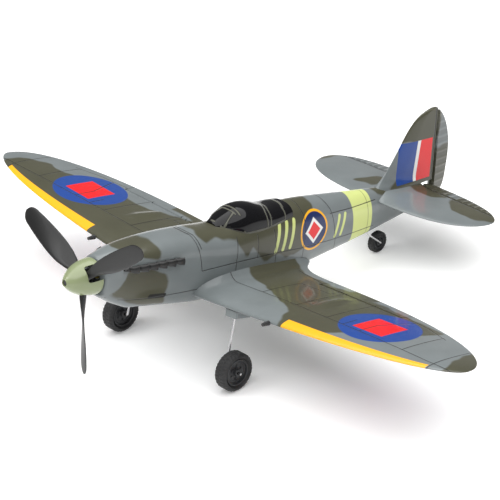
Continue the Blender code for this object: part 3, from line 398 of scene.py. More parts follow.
def joined(*parts):
    target = parts[0]
    for extra in parts[1:]:
        mesh = bpy.data.meshes.new("joined")
        extra.to_mesh(mesh)
        extra.free()
        target.from_mesh(mesh)
        bpy.data.meshes.remove(mesh)
    return target


def cut(bm, operations):
    """The bmesh after exact Booleans, each a pair of an operation and a bmesh."""
    scratch = []

    def scratch_object(source):
        bmesh.ops.recalc_face_normals(source, faces=source.faces)
        mesh = bpy.data.meshes.new("scratch")
        source.to_mesh(mesh)
        source.free()
        obj = bpy.data.objects.new("scratch", mesh)
        bpy.context.scene.collection.objects.link(obj)
        scratch.append(obj)
        return obj

    target = scratch_object(bm)
    for operation, tool in operations:
        modifier = target.modifiers.new("cut", "BOOLEAN")
        modifier.operation = operation
        modifier.solver = "EXACT"
        modifier.object = scratch_object(tool)
    bpy.context.view_layer.update()
    evaluated = target.evaluated_get(bpy.context.evaluated_depsgraph_get())
    result = bmesh.new()
    mesh = evaluated.to_mesh()
    result.from_mesh(mesh)
    evaluated.to_mesh_clear()
    for obj in scratch:
        old = obj.data
        bpy.data.objects.remove(obj, do_unlink=True)
        bpy.data.meshes.remove(old)
    return result


def prism_along(inner, outer, profile, margin):
    """A prism along a hinge line; its profile is (distance aft, height) from the hinge."""
    along = (outer - inner).normalized()
    up = Vector((0, 0, 1))
    up = (up - along * up.dot(along)).normalized()
    aft = Vector((0, 1, 0))
    aft = (aft - along * aft.dot(along) - up * aft.dot(up)).normalized()
    return loft([[end + along * sign * margin + aft * a + up * h for a, h in profile]
                 for end, sign in ((inner, -1), (outer, 1))])


HINGE_GAP = 0.3
FLAP_HALF = 9.0
FLAP_REACH = 24.0
NOTCH = [(-HINGE_GAP, -FLAP_HALF), (-HINGE_GAP, FLAP_HALF), (FLAP_REACH, FLAP_HALF), (FLAP_REACH, -FLAP_HALF)]
FLAP = [(HINGE_GAP, -FLAP_HALF), (HINGE_GAP, 0.0), (HINGE_GAP + FLAP_HALF * BEVEL_LEAN, FLAP_HALF),
        (FLAP_REACH, FLAP_HALF), (FLAP_REACH, -FLAP_HALF)]


# ---------------------------------------------------------------- materials

class Graph:
    """A small hand for wiring a material's nodes."""

    def __init__(self, name):
        self.material = bpy.data.materials.new(name)
        self.material.use_nodes = True
        self.tree = self.material.node_tree
        self.shader = self.tree.nodes["Principled BSDF"]

    def node(self, kind, **settings):
        made = self.tree.nodes.new(kind)
        for key, value in settings.items():
            setattr(made, key, value)
        return made

    def feed(self, socket, value):
        if isinstance(value, bpy.types.NodeSocket):
            self.tree.links.new(value, socket)
        else:
            socket.default_value = value

    def math(self, operation, *values, clamp=False):
        made = self.node("ShaderNodeMath", operation=operation, use_clamp=clamp)
        for socket, value in zip(made.inputs, values):
            self.feed(socket, value)
        return made.outputs[0]

    def vector(self, operation, *values):
        made = self.node("ShaderNodeVectorMath", operation=operation)
        for socket, value in zip(made.inputs, values):
            self.feed(socket, value)
        return made.outputs["Value" if operation in ("LENGTH", "DOT_PRODUCT", "DISTANCE") else "Vector"]

    def place(self):
        return self.node("ShaderNodeTexCoord").outputs["Object"]

    def attribute(self, name, output="Vector"):
        return self.node("ShaderNodeAttribute", attribute_name=name).outputs[output]

    def mix(self, share, a, b):
        made = self.node("ShaderNodeMix", data_type="RGBA")
        self.feed(made.inputs[0], share)
        for socket, colour in ((made.inputs[6], a), (made.inputs[7], b)):
            self.feed(socket, (*colour, 1.0) if isinstance(colour, tuple) and len(colour) == 3 else colour)
        return made.outputs[2]

    def noise(self, vector, scale, detail=2.0, roughness=0.5):
        made = self.node("ShaderNodeTexNoise")
        self.feed(made.inputs["Vector"], vector)
        made.inputs["Scale"].default_value = scale
        made.inputs["Detail"].default_value = detail
        made.inputs["Roughness"].default_value = roughness
        return made.outputs["Fac"]

    def inside(self, distance, edge=0.15):
        """1 where a distance in mm is below zero, over a soft edge of that half-width."""
        made = self.node("ShaderNodeMapRange", interpolation_type="SMOOTHSTEP")
        self.feed(made.inputs["Value"], distance)
        made.inputs["From Min"].default_value = edge
        made.inputs["From Max"].default_value = -edge
        return made.outputs[0]

    def bump(self, height, distance, strength=1.0, normal=None):
        made = self.node("ShaderNodeBump")
        made.inputs["Strength"].default_value = strength
        made.inputs["Distance"].default_value = distance
        self.feed(made.inputs["Height"], height)
        if normal is not None:
            self.tree.links.new(normal, made.inputs["Normal"])
        return made.outputs[0]

    def segments(self, point, segments):
        """Distance in mm from a point to the nearest of some straight segments."""
        group = segment_group()
        nearest = None
        for a, b in segments:
            made = self.node("ShaderNodeGroup", node_tree=group)
            self.feed(made.inputs["Point"], point)
            made.inputs["From"].default_value = a
            made.inputs["To"].default_value = b
            nearest = made.outputs[0] if nearest is None else self.math("MINIMUM", nearest, made.outputs[0])
        return nearest

    def finish(self, colour=None, roughness=None, normal=None, **sockets):
        if colour is not None:
            paint = (*colour, 1.0) if isinstance(colour, tuple) else colour
            self.feed(self.shader.inputs["Base Color"], paint)
        if roughness is not None:
            self.feed(self.shader.inputs["Roughness"], roughness)
        if normal is not None:
            self.feed(self.shader.inputs["Normal"], normal)
        for key, value in sockets.items():
            self.shader.inputs[key.replace("_", " ")].default_value = value
        return self.material


def segment_group():
    """A node group giving the distance from a point to one straight segment."""
    name = "segment distance"
    if name in bpy.data.node_groups:
        return bpy.data.node_groups[name]
    group = bpy.data.node_groups.new(name, "ShaderNodeTree")
    for socket in ("Point", "From", "To"):
        group.interface.new_socket(socket, in_out="INPUT", socket_type="NodeSocketVector")
    group.interface.new_socket("Distance", in_out="OUTPUT", socket_type="NodeSocketFloat")
    nodes = group.nodes
    inputs = nodes.new("NodeGroupInput")
    outputs = nodes.new("NodeGroupOutput")

    def vector(operation, a, b):
        made = nodes.new("ShaderNodeVectorMath")
        made.operation = operation
        group.links.new(a, made.inputs[0])
        if operation == "SCALE":
            group.links.new(b, made.inputs["Scale"])
        elif b is not None:
            group.links.new(b, made.inputs[1])
        return made.outputs["Value"] if operation in ("DOT_PRODUCT", "LENGTH") else made.outputs[0]

    offset = vector("SUBTRACT", inputs.outputs["Point"], inputs.outputs["From"])
    run = vector("SUBTRACT", inputs.outputs["To"], inputs.outputs["From"])
    share = nodes.new("ShaderNodeMath")
    share.operation = "DIVIDE"
    share.use_clamp = True
    group.links.new(vector("DOT_PRODUCT", offset, run), share.inputs[0])
    group.links.new(vector("DOT_PRODUCT", run, run), share.inputs[1])
    reached = vector("SCALE", run, share.outputs[0])
    gap = vector("SUBTRACT", offset, reached)
    group.links.new(vector("LENGTH", gap, None), outputs.inputs[0])
    return group


def paint_material(name, lines=(), marks=(), ribs=None):
    """Painted foam: camouflage, moulded panel lines, painted marks and ribs, with painted shade in the troughs
    between the ribs. Lines is (plane, segments, half width in mm), each mark a function of the graph, and ribs
    (axis, pitch in mm, depth in m)."""
    g = Graph(name)
    craft = g.attribute("craft")
    wander = g.math("MULTIPLY", g.math("SUBTRACT", g.noise(craft, 0.07, 1.0), 0.5), 8.0)
    distance = g.math("ADD", g.attribute("camo", "Fac"), wander)
    tint = g.node("ShaderNodeVectorMath", operation="SCALE")
    g.feed(tint.inputs[0], g.mix(g.inside(distance, 0.9), GREY, OLIVE))
    g.feed(tint.inputs["Scale"], g.math("MULTIPLY_ADD", g.noise(craft, 0.05, 2.0), 0.30, 0.85))
    colour = tint.outputs[0]
    for painted in marks:
        share, paint = painted(g, craft)
        colour = g.mix(share, colour, paint)
    normal = g.bump(g.noise(craft, 0.9, 2.0), 0.00004, 0.5)
    if lines:
        plane, segments, half = lines
        gap = g.segments(flattened(g, craft, plane), segments)
        groove = g.inside(g.math("SUBTRACT", gap, half), 0.2)
        colour = g.mix(g.math("MULTIPLY", groove, 0.9), colour, DARK_LINE_AND_SHADE)
        normal = g.bump(g.math("SUBTRACT", 1.0, groove), 0.00035, 0.8, normal)
    if ribs:
        axis, pitch, depth = ribs
        parts = g.node("ShaderNodeSeparateXYZ")
        g.feed(parts.inputs[0], craft)
        wave = g.math("SINE", g.math("MULTIPLY", parts.outputs[axis], 2 * math.pi / pitch))
        wave = g.math("POWER", g.math("MULTIPLY_ADD", wave, 0.5, 0.5), 3.0)
        normal = g.bump(wave, depth, 1.0, normal)
        # painted shade: the colour darkens towards the dark line colour in the troughs between the raised ribs
        colour = g.mix(g.math("MULTIPLY", g.math("SUBTRACT", 1.0, wave), 0.3), colour, DARK_LINE_AND_SHADE)
    roughness = g.math("MULTIPLY_ADD", g.noise(craft, 0.14, 3.0), 0.12, 0.26)
    return g.finish(colour, roughness, normal, Specular_IOR_Level=0.22, Coat_Weight=0.35, Coat_Roughness=0.07)


def flattened(g, craft, plane):
    """Craft coordinates from above, with both sides folded together, or from the side."""
    if plane == "top":
        return g.vector("MULTIPLY", g.vector("ABSOLUTE", craft), (1, 1, 0))
    return g.vector("MULTIPLY", craft, (0, 1, 1))


# Each shape below gives a function of the graph: the distance in mm outside that shape.

def disc(centre, radius, plane):
    return lambda g, craft: g.math(
        "SUBTRACT", g.vector("DISTANCE", flattened(g, craft, plane), centre), radius)


def diamond(centre, half):
    """A square on the fuselage's side, standing on its corner."""

    def distance(g, craft):
        offset = g.vector("ABSOLUTE", g.vector("SUBTRACT", flattened(g, craft, "side"), centre))
        total = g.vector("DOT_PRODUCT", offset, (1.0, 1.0, 1.0))
        return g.math("MULTIPLY", g.math("SUBTRACT", total, half), math.sqrt(0.5))

    return distance


def square(centre, half):
    """A square on the wing, its sides along and across the craft."""

    def distance(g, craft):
        offset = g.vector("SUBTRACT", flattened(g, craft, "top"), centre)
        falling = g.math("ABSOLUTE", g.vector("DOT_PRODUCT", offset, (0.5, 0.5, 0.0)))
        rising = g.math("ABSOLUTE", g.vector("DOT_PRODUCT", offset, (0.5, -0.5, 0.0)))
        return g.math("SUBTRACT", g.math("ADD", falling, rising), half)

    return distance


def bar(a, b, half):
    """A round-ended bar on the fuselage's side, between two (y, z) points."""
    ends = [((0, *a), (0, *b))]
    return lambda g, craft: g.math("SUBTRACT", g.segments(flattened(g, craft, "side"), ends), half)


def between(direction, low, high, folded=False):
    """A band between two values of a direction's coordinate, on both sides alike if it is folded."""

    def distance(g, craft):
        at = g.vector("DOT_PRODUCT", g.vector("ABSOLUTE", craft) if folded else craft, direction)
        off_middle = g.math("ABSOLUTE", g.math("SUBTRACT", at, (low + high) / 2))
        return g.math("SUBTRACT", off_middle, (high - low) / 2)

    return distance


def both_of(first, second):
    return lambda g, craft: g.math("MAXIMUM", first(g, craft), second(g, craft))


def mark(shape, paint, strength=1.0):
    return lambda g, craft: (g.math("MULTIPLY", g.inside(shape(g, craft), 0.25), strength), paint)


# ---------------------------------------------------------------- painted skins

def chain(*points):
    """The straight segments that join a row of points."""
    return list(zip(points, points[1:]))


def fuselage_lines():
    runs = [
        [(84.2, 14.6), (87, 13.2), (88.4, 6.9), (89.7, -0.2), (91.0, -7.4)],
        [(86.6, 14.6), (89.2, 12.7), (90.6, 6.0)],
        [(91.0, -7.4), (118, -7.9), (149, -9.3), (173, -11.6), (202, -13.6), (222, -14.4), (246, -14.8)],
        [(120, 6.4), (119.4, 2), (118, -7.9), (118.5, -20)],
        [(136.4, 5.0), (135.4, -8.3)],
        [(150.3, 5.0), (151.2, -9.4), (152, -22)],
        [(176, 15), (177.5, 6), (176.5, -12), (178, -26)],
        [(198, 13.4), (202.3, 6), (205, -6), (209.7, -23)],
        [(201.4, 3.6), (222, 2.5), (246, 2.2)],
        [(32, -13.6), (55, -17.0), (92, -19.0)],
    ]
    return [segment for run in runs for segment in chain(*[(0, y, z) for y, z in run])]


def fuselage_marks():
    lean = (0.0, 0.995, 0.10)
    marks = [mark(between(lean, 221.9, 240.8), PALE_GREEN), mark(between(lean, 236.6, 237.1), DARK_LINE_AND_SHADE, 0.6)]
    for y in (151.0, 157.4, 163.8):
        marks.append(mark(bar((y, -8.8), (y + 4.6, 6.8), 1.25), PALE_GREEN))
    for y in (206.4, 212.0):
        marks.append(mark(bar((y, -12.0), (y + 3.6, 0.6), 1.1), PALE_GREEN))
    centre = (0.0, 185.6, -3.2)
    # painted shade: a dark oval standing in for the shadow inside the slot's opening
    oval_slot_shade = bar((54, -15.8), (64.5, -17.2), 1.5)
    marks += [mark(disc(centre, 12.5, "side"), YELLOW), mark(disc(centre, 11.2, "side"), NAVY),
              mark(diamond(centre, 8.2), WHITE), mark(diamond(centre, 5.7), RED), mark(oval_slot_shade, DARK_LINE_AND_SHADE)]
    return marks


FUSELAGE_CAMO = [
    [(27, -9), (34.9, -1), (36, 3), (53, 1.6), (62, -2), (66, -8), (64.6, -15), (66, -23), (55, -21.8),
     (44, -17.5), (33, -12.4)],
    [(34, 18), (38, 12), (44, 9.5), (52, 8.3), (59, 6), (60.5, 10), (58, 15), (62, 18)],
    [(89, 18), (92, 13), (96, 9.2), (106, 8), (119, 5.6), (122, -2), (126.8, -8.3), (132, -2), (138, -8),
     (143, -13), (152, -12), (168, -15), (176, -12), (179, 0), (187, 8), (188, 18)],
    [(246, 9), (250, 3), (262, 4), (280, 6), (304, 8), (304, 14), (262, 16)],
    [(268, -2), (282, -4), (306, -2), (306, -13), (276, -12)],
]


def build_fuselage():
    nose_round = {21.8: -1.2, 22.2: -0.45, 22.8: -0.12}
    stations = list(nose_round) + spread(23.8, 303.0, 132)
    skin = loft([fuselage_ring(y, nose_round.get(y, 0.0)) for y in stations])

    def well(half, front, back, below, above):
        """A cutter that follows the belly, from one height off its skin to another."""
        corners = [(front, below), (back, below), (back, above), (front, above)]
        return loft([[(x, y, belly_z(y) + rise) for y, rise in corners] for x in (-half, half)])

    hatch = well(8.8, 44.0, 83.6, -6.0, 1.9)
    bay = well(9.9, 46.0, 84.6, 1.2, 9.2)
    nose = cylinder((0, 15, 0), (0, 24.5, 0), 6.0, 32)
    tail_slot = block((-20, 287.0, STAB_Z - 6.4), (20, 306, STAB_Z + 3.1))
    skin = cut(skin, [("DIFFERENCE", tool) for tool in (hatch, bay, nose, tail_slot)])
    material = paint_material("painted_fuselage", ("side", fuselage_lines(), 0.24), fuselage_marks())
    obj = piece_from(skin, "fuselage_skin", ROOT, material, ("fuselage_left", "fuselage_right"),
                     42)
    paint_distance(obj, FUSELAGE_CAMO, "side")


PORT_CAMO = [
    [(84, 86), (108, 86), (112, 98), (124, 106), (141, 112), (147, 132), (152, 150), (100, 158), (55, 160),
     (30, 165), (18, 172), (0, 172), (0, 134), (19, 128), (40, 121), (60, 112.4), (76, 103)],
    [(183, 92), (189, 112), (184, 124), (181, 140), (210, 140), (210, 92)],
    [(70, 158), (73, 168), (92, 168), (90, 157)],
]
STARBOARD_CAMO = [
    [(-40, 80), (-84, 80), (-184, 92), (-190, 110), (-184, 124), (-169, 129), (-155, 130), (-120, 138),
     (-87, 143), (-76, 150), (-62, 157), (-30, 168), (-28, 140), (-44, 124), (-56, 110), (-50, 96)],
    [(-60, 160), (-64, 170), (-86, 170), (-84, 158)],
]


def wing_lines():
    runs = [
        [(14, 114.2), (65, 114.2), (104, 112.6), (143, 111), (176, 109.2), (193, 109.4)],
        [(72, 114.2), (72, 157.2)],
        [(97, 113), (97, 155)],
        [(110, 112.3), (110, 124)],
        [(123, 111.8), (123, 127), (131, 150)],
        [(157, 110.2), (157, 145)],
        [(181, 98), (181, 139)],
        [(44, 114.2), (44, 146), (68, 146), (68, 157.5)],
        [(121, 153), (141, 149.5), (160, 143)],
        [(24, 164.5), (50, 158.2)],
    ]
    return [segment for run in runs for segment in chain(*[(x, y, 0) for x, y in run])]


def wing_marks():
    centre = (125.8, 126.4, 0.0)
    spanwise = between((1.0, 0.0, 0.0), 84.5, 180.0, folded=True)
    return [mark(disc(centre, 23.8, "top"), BLUE), mark(square(centre, 11.0), RED),
            mark(both_of(leading_strip, spanwise), YELLOW)]


def leading_strip(g, craft):
    """Distance in mm outside a strip along the leading edge that narrows towards the tip."""
    reach = g.vector("DOT_PRODUCT", g.vector("ABSOLUTE", craft), (-0.035, 0.0, 0.0))
    return g.math("SUBTRACT", g.attribute("behind_edge", "Fac"), g.math("ADD", reach, 9.4))


def wing_piece(bm, name, body, material, replaces, camo):
    """A painted piece of the wing, with each vertex's distance behind the leading edge."""
    obj = piece_from(bm, name, body, material, replaces, 40)
    paint_distance(obj, camo)
    store(obj, "behind_edge", [y - wing_edges(x)[0] for x, y, _ in places_of(obj.data, "craft").tolist()])


def build_wings():
    shares = eased(36)
    material = paint_material("painted_wing", ("top", wing_lines(), 0.3), wing_marks())
    stations = [0.15] + spread(4.0, 148.0, 60) + [151, 154, 157, 160, 163, 166, 169, 172, 175, 178, 181,
                                                  183.5, 186, 188.5, 190.5, 192.3, 194, 195.6, 197, 198, 198.7]
    for (side, label), camo in zip(SIDES, (PORT_CAMO, STARBOARD_CAMO)):
        inner, outer = aileron_axis(side)
        low, high = [TO_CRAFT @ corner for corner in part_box("aileron_servo_" + label)]
        pocket = block((min(low.x, high.x) - 0.3, 115.7, -30.0),
                       (max(low.x, high.x) + 0.3, 132.3, high.z - 1.2))
        bm = surface_loft(wing_point, [side * x for x in stations], shares)
        bm = cut(bm, [("DIFFERENCE", prism_along(inner, outer, NOTCH, 0.4)), ("DIFFERENCE", pocket)])
        wing_piece(bm, "wing_skin_" + label, ROOT, material, ("wing_" + label,), camo)
        flap = surface_loft(wing_point, [side * x for x in spread(46.0, 124.0, 44)], shares)
        flap = cut(flap, [("INTERSECT", prism_along(inner, outer, FLAP, -0.1))])
        wing_piece(flap, "aileron_skin_" + label, "aileron_%s_assembly" % label, material,
                   ("aileron_" + label,), camo)


STAB_CAMO = [
    [(34, 284), (44, 275), (60, 276), (70, 284), (72, 300), (30, 300)],
    [(0, 280), (22, 282), (26, 290), (22, 304), (0, 304)],
    [(-27, 262), (-12, 262), (-10, 281), (-24, 282)],
    [(-72, 274), (-66, 272), (-68, 300), (-80, 300)],
]


def elevator_prism(side, profile, margin):
    ends = [Vector((side * x, ELEVATOR_HINGE.y, ELEVATOR_HINGE.z)) for x in (ELEVATOR_IN, ELEVATOR_OUT)]
    return prism_along(*ends, profile, margin)


def build_tail():
    shares = eased(26)
    stations = [2.0] + spread(4.0, 58.0, 28) + [60, 62, 64, 65.6, 67, 68.2, 69.2, 70.1, 70.8, 71.2, 71.4]
    whole = surface_loft(stab_point, [-x for x in stations[::-1]] + stations, shares)
    material = paint_material("painted_tailplane", ("top", [((4, 291.6, 0), (63, 291.6, 0))], 0.35))
    # ribbed elevators, with painted shade in the troughs between the ribs
    flapped = paint_material("painted_elevator", ribs=(0, 5.2, 0.00030))
    joiner_slot = block((-3.2, ELEVATOR_HINGE.y - 1, -8), (3.2, 330, 8))
    fin_slot = block((-3.3, 240, STAB_Z), (3.3, 330, 9))
    tools = [elevator_prism(side, NOTCH, 0.5) for side, _ in SIDES] + [joiner_slot, fin_slot]
    whole = cut(whole, [("DIFFERENCE", tool) for tool in tools])
    obj = piece_from(whole, "tailplane_skin", ROOT, material, ("stabilizer",), 40)
    paint_distance(obj, STAB_CAMO)
    for side, label in SIDES:
        flap = surface_loft(stab_point, [side * x for x in spread(2.0, 64.0, 36)], shares)
        flap = cut(flap, [("INTERSECT", elevator_prism(side, FLAP, 0.0))])
        obj = piece_from(flap, "elevator_skin_" + label, "elevator_assembly", flapped, ("elevator_" + label,),
                         40)
        paint_distance(obj, STAB_CAMO)


def fin_ring(z, points=22):
    """The fin's section at height z: round in front, flat-sided behind, wider where it meets the spine."""
    lead = fin_lead(z)
    chord = RUDDER_HINGE_Y - 1.0 - lead
    half = 2.9 - 1.5 * max(z, 0) / 50
    half_ring = []
    for i in range(points + 1):
        t = (i / points)**1.7
        y = lead + chord * t
        x = half * (math.sqrt(min(2.6 * t, 1.0)) if t < 0.385 else 1.0)
        if 0 < t < 1:
            near = max(0.0, 1 - max(z - top_z(y), 0.0) / 8.0)
            x += 2.3 * near**2.5 * math.sin(math.pi * min(t * 0.8 + 0.2, 1.0))
        half_ring.append((x, y))
    return [(x, y, z) for x, y in half_ring] + [(-x, y, z) for x, y in half_ring[:0:-1]]


def rudder_ring(z, points=14):
    """The rudder's section at height z, a wedge from its bevelled nose to its trailing edge."""
    half = 2.8 - 1.45 * max(z, 0) / 50
    shoulder = RUDDER_HINGE_Y + 1.6
    rear = rudder_trail(z)
    ring = [(0.35, RUDDER_HINGE_Y + 0.1, z)]
    for i in range(points + 1):
        t = i / points
        ring.append((half * (1 - t) + 0.45 * t, shoulder + (rear - shoulder) * t, z))
    return ring + [(-x, y, w) for x, y, w in ring[::-1]]


def fin_marks():
    slant = (0.0, 1.0, -0.11)
    zone = both_of(between((0, 0, 1), 6.0, 32.2), between((0, 1, 0), 240.0, 300.3))
    return [mark(both_of(zone, between(slant, 267.5, 283.1)), BLUE),
            mark(both_of(zone, between(slant, 283.1, 286.0)), WHITE),
            mark(both_of(zone, between(slant, 286.0, 301.0)), RED)]


FIN_CAMO = [
    [(258, 34), (310, 30), (310, 60), (258, 60)],
    [(284, 10), (310, 8), (310, -10), (262, -10), (262, 6)],
    [(299, -10), (310, -10), (310, 60), (299, 60)],
]
RUDDER_CAMO = [
    [(290, 27), (330, 23), (330, -14), (290, -14)],
    [(290, 60), (307, 60), (306, 24), (290, 24)],
]


def build_fin():
    hinge_line = [((0, 301.8, 2), (0, 301.8, 51))]
    material = paint_material("painted_fin", ("side", hinge_line, 0.5), fin_marks())
    levels = [STAB_Z + 0.3] + spread(1.0, 48.0, 40) + [49, 49.8, 50.4, 50.9, 51.2, 51.4]
    heel = block((-8, ELEVATOR_HINGE.y - 1, STAB_Z - 2), (8, RUDDER_HINGE_Y + 2, STAB_Z + 3.5))
    skin = cut(loft([fin_ring(z) for z in levels]), [("DIFFERENCE", heel)])
    obj = piece_from(skin, "fin_skin", ROOT, material, ("fin",), 50)
    paint_distance(obj, FIN_CAMO, "side")
    # ribbed rudder, with painted shade in the troughs between the ribs
    ribbed = paint_material("painted_rudder", ribs=(2, 5.0, 0.00030))
    levels = [-11.0, -10.6, -10.0] + spread(-9.0, 46.0, 36) + [47, 48, 48.8, 49.2]
    skin = loft([rudder_ring(z) for z in levels])
    obj = piece_from(skin, "rudder_skin", "rudder_assembly", ribbed, ("rudder",), 50)
    paint_distance(obj, RUDDER_CAMO, "side")


# ---------------------------------------------------------------- canopy

canopy_sill = line_through([(110, 11.0), (118, 9.4), (128, 6.2), (136, 5.4), (148, 5.6), (160, 7.4),
                            (169, 8.8)])
canopy_top = line_through([(111, 13.2), (115.5, 15.2), (120, 17.2), (124.5, 19.0), (127, 19.9), (131, 20.6),
                           (136, 20.7), (141, 20.0), (146, 18.6), (150, 17.3), (155, 16.6), (160, 16.4),
                           (168.6, 15.7)])
canopy_width = line_through([(111, 4.6), (115.5, 7.2), (120, 10.2), (127, 12.9), (136, 13.6), (148, 13.3),
                             (160, 12.3), (168.6, 11.0)])


def canopy_material():
    """Gloss black glazing crossed by painted frames."""
    g = Graph("glazing_and_frames")
    craft = g.attribute("craft")
    folded = g.vector("ABSOLUTE", craft)
    side = flattened(g, craft, "side")
    bows = (chain((0, 123.6, 21), (0, 124.2, 18)) + chain((0, 126.6, 21), (0, 126.2, 17.6))
            + chain((0, 147.8, 19), (0, 145.6, 15.6), (0, 145.9, 5))
            + chain((0, 151.0, 18), (0, 149.2, 15.7), (0, 148.3, 5))
            + chain((0, 164.6, 17), (0, 161.4, 14.6), (0, 161.2, 6)))
    posts = (chain((7.4, 114.6, 11.0), (6.3, 118.8, 14.6), (4.8, 124.2, 18.2), (9.8, 124.9, 13.2),
                   (12.9, 127.6, 6.8))
             + chain((0, 112.6, 13.9), (7.4, 114.6, 11.0), (11.0, 121.4, 8.9), (13.4, 128.5, 6.8),
                     (13.7, 146.0, 6.7), (12.4, 161.0, 8.2)))
    frame_gap = g.math("MINIMUM", g.math("SUBTRACT", g.segments(side, bows), 0.55),
                       g.math("SUBTRACT", g.segments(folded, posts), 0.75))
    frame_share = g.inside(frame_gap, 0.14)
    patch = g.inside(g.math("SUBTRACT", g.noise(craft, 0.1), 0.5), 0.05)
    paint = g.mix(patch, (0.085, 0.085, 0.066), (0.105, 0.105, 0.085))
    colour = g.mix(frame_share, (0.006, 0.006, 0.007), paint)
    roughness = g.math("MULTIPLY_ADD", frame_share, 0.33, 0.05)
    return g.finish(colour, roughness, g.bump(frame_share, 0.0004, 0.9), Specular_IOR_Level=0.25)


def canopy_ring(y, count=30):
    sill = canopy_sill(y)
    rise = canopy_top(y) - sill
    ring = []
    for i in range(count + 1):
        angle = math.pi * i / count
        across = math.cos(angle)
        x = math.copysign(canopy_width(y) * abs(across)**0.85, across)
        ring.append((x, y, sill + rise * math.sin(angle)**0.8))
    return ring


def build_canopy():
    shell = loft([canopy_ring(y) for y in spread(111.0, 168.6, 72)])
    piece_from(shell, "canopy_shell", ROOT, canopy_material(), ("canopy",), 45)


# ---------------------------------------------------------------- plain materials

def plastic(name, colour, roughness=0.35, grain=1500.0, coat=0.2):
    """Moulded plastic: a fine grain in the surface and slow drifts of gloss and tone."""
    g = Graph(name)
    place = g.place()
    drift = g.noise(place, 60.0, 2.0)
    paler = tuple(min(1.0, c * 1.7 + 0.006) for c in colour)
    tone = g.mix(g.math("MULTIPLY", drift, 0.35), colour, paler)
    rough = g.math("MULTIPLY_ADD", drift, 0.16, roughness - 0.08)
    return g.finish(tone, rough, g.bump(g.noise(place, grain, 2.0), 0.00005, 0.35), Specular_IOR_Level=0.3,
                    Coat_Weight=coat, Coat_Roughness=0.15)


def rubber():
    """Tyre rubber with a bloom of dust."""
    g = Graph("tyre_rubber")
    dust = g.noise(g.place(), 180.0, 4.0, 0.6)
    colour = g.mix(g.math("MULTIPLY", dust, 0.5), (0.010, 0.010, 0.011), (0.035, 0.035, 0.035))
    rough = g.math("MULTIPLY_ADD", dust, 0.2, 0.5)
    return g.finish(colour, rough, g.bump(dust, 0.00008, 0.5))


def metal(name, colour, roughness):
    """Bare metal with fine streaks round the upright axis."""
    g = Graph(name)
    streaks = g.noise(g.vector("MULTIPLY", g.place(), (400.0, 400.0, 4000.0)), 1.0, 3.0)
    tone = g.mix(streaks, tuple(c * 0.8 for c in colour), colour)
    rough = g.math("MULTIPLY_ADD", streaks, 0.2, roughness - 0.1)
    return g.finish(tone, rough, g.bump(streaks, 0.00003, 0.4), Metallic=1.0)


def board():
    """Solder mask with pale tracks."""
    g = Graph("solder_mask")
    cells = g.node("ShaderNodeTexVoronoi", feature="DISTANCE_TO_EDGE")
    g.feed(cells.inputs["Vector"], g.place())
    cells.inputs["Scale"].default_value = 700.0
    track = g.inside(g.math("SUBTRACT", cells.outputs["Distance"], 0.07), 0.02)
    return g.finish(g.mix(track, (0.01, 0.09, 0.03), (0.05, 0.25, 0.10)), 0.35, g.bump(track, 0.00005, 0.5))


def foil():
    """Shrink-wrapped pouch: a plain silver skin with soft wrinkles."""
    g = Graph("pouch_foil")
    wrinkles = g.noise(g.place(), 350.0, 5.0, 0.65)
    tone = g.mix(wrinkles, (0.34, 0.35, 0.37), (0.58, 0.59, 0.61))
    rough = g.math("MULTIPLY_ADD", wrinkles, 0.2, 0.22)
    return g.finish(tone, rough, g.bump(wrinkles, 0.0002, 0.5), Metallic=0.6)


def weave():
    """Pultruded carbon: fine strands along the strip."""
    g = Graph("carbon_strands")
    strands = g.noise(g.vector("MULTIPLY", g.place(), (30.0, 2500.0, 2500.0)), 1.0, 2.0)
    tone = g.mix(strands, (0.008, 0.008, 0.009), (0.05, 0.05, 0.052))
    return g.finish(tone, 0.3, g.bump(strands, 0.00003, 0.5), Coat_Weight=0.6)


# ---------------------------------------------------------------- propeller, spinner, wheels, exhausts

def ogive(y):
    """The spinner's radius at a distance behind its tip."""
    t = y / SPINNER_LENGTH
    return SPINNER_R * (1 - (1 - t)**2.1)**0.72


def blade_turn(i):
    return Matrix.Rotation(-(PROP_PHASE + i * 2 * math.pi / BLADES), 4, "Y")


def build_spinner():
    steps = 30
    stations = [SPINNER_LENGTH * (i / steps)**1.4 for i in range(1, steps + 1)]
    outer = [(ogive(y), y) for y in stations]
    inner = [(SPINNER_R - 0.2, SPINNER_LENGTH + 0.25), (SPINNER_R - 1.2, SPINNER_LENGTH),
             (SPINNER_R - 1.5, 15.0), (SPINNER_R - 3.0, 10.6), (0.0, 10.6)]
    body = turned([(0.0, 0.0)] + outer + inner, (0, 0, 0), (0, 1, 0), 96)
    tools = []
    for i in range(BLADES):
        slot = block((7.0, PROP_Y - 3.6, -4.9), (14.0, SPINNER_LENGTH + 2, 4.9))
        bmesh.ops.bevel(slot, geom=slot.edges[:], offset=1.4, segments=4, affect="EDGES", profile=0.5)
        bmesh.ops.transform(slot, matrix=blade_turn(i), verts=slot.verts)
        tools.append(slot)
    tools.append(cylinder((0, -1, 0), (0, 11, 0), 1.9, 40))
    material = plastic("spinner_plastic", SKY, 0.24, 900.0, 0.4)
    body = cut(body, [("DIFFERENCE", tool) for tool in tools])
    piece_from(body, "spinner_shell", "prop_assembly", material, ("spinner",), 40)


def blade_ring(r, chord, thick, turn, count=26):
    """A blade's lens-shaped section at radius r, set to the angle that the pitch gives there."""
    angle = math.atan2(PROP_PITCH, 2 * math.pi * r)
    ring = []
    for i in range(count):
        a = 2 * math.pi * i / count
        u = 0.5 * math.cos(a) * chord
        v = (0.5 if math.sin(a) > 0 else 0.34) * math.sin(a) * thick
        v += 0.06 * thick * (1 - (2 * u / chord)**2)
        side = u * math.cos(angle) - v * math.sin(angle)
        back = u * math.sin(angle) + v * math.cos(angle)
        ring.append(turn @ Vector((r, PROP_Y - back * 0.9, side)))
    return ring


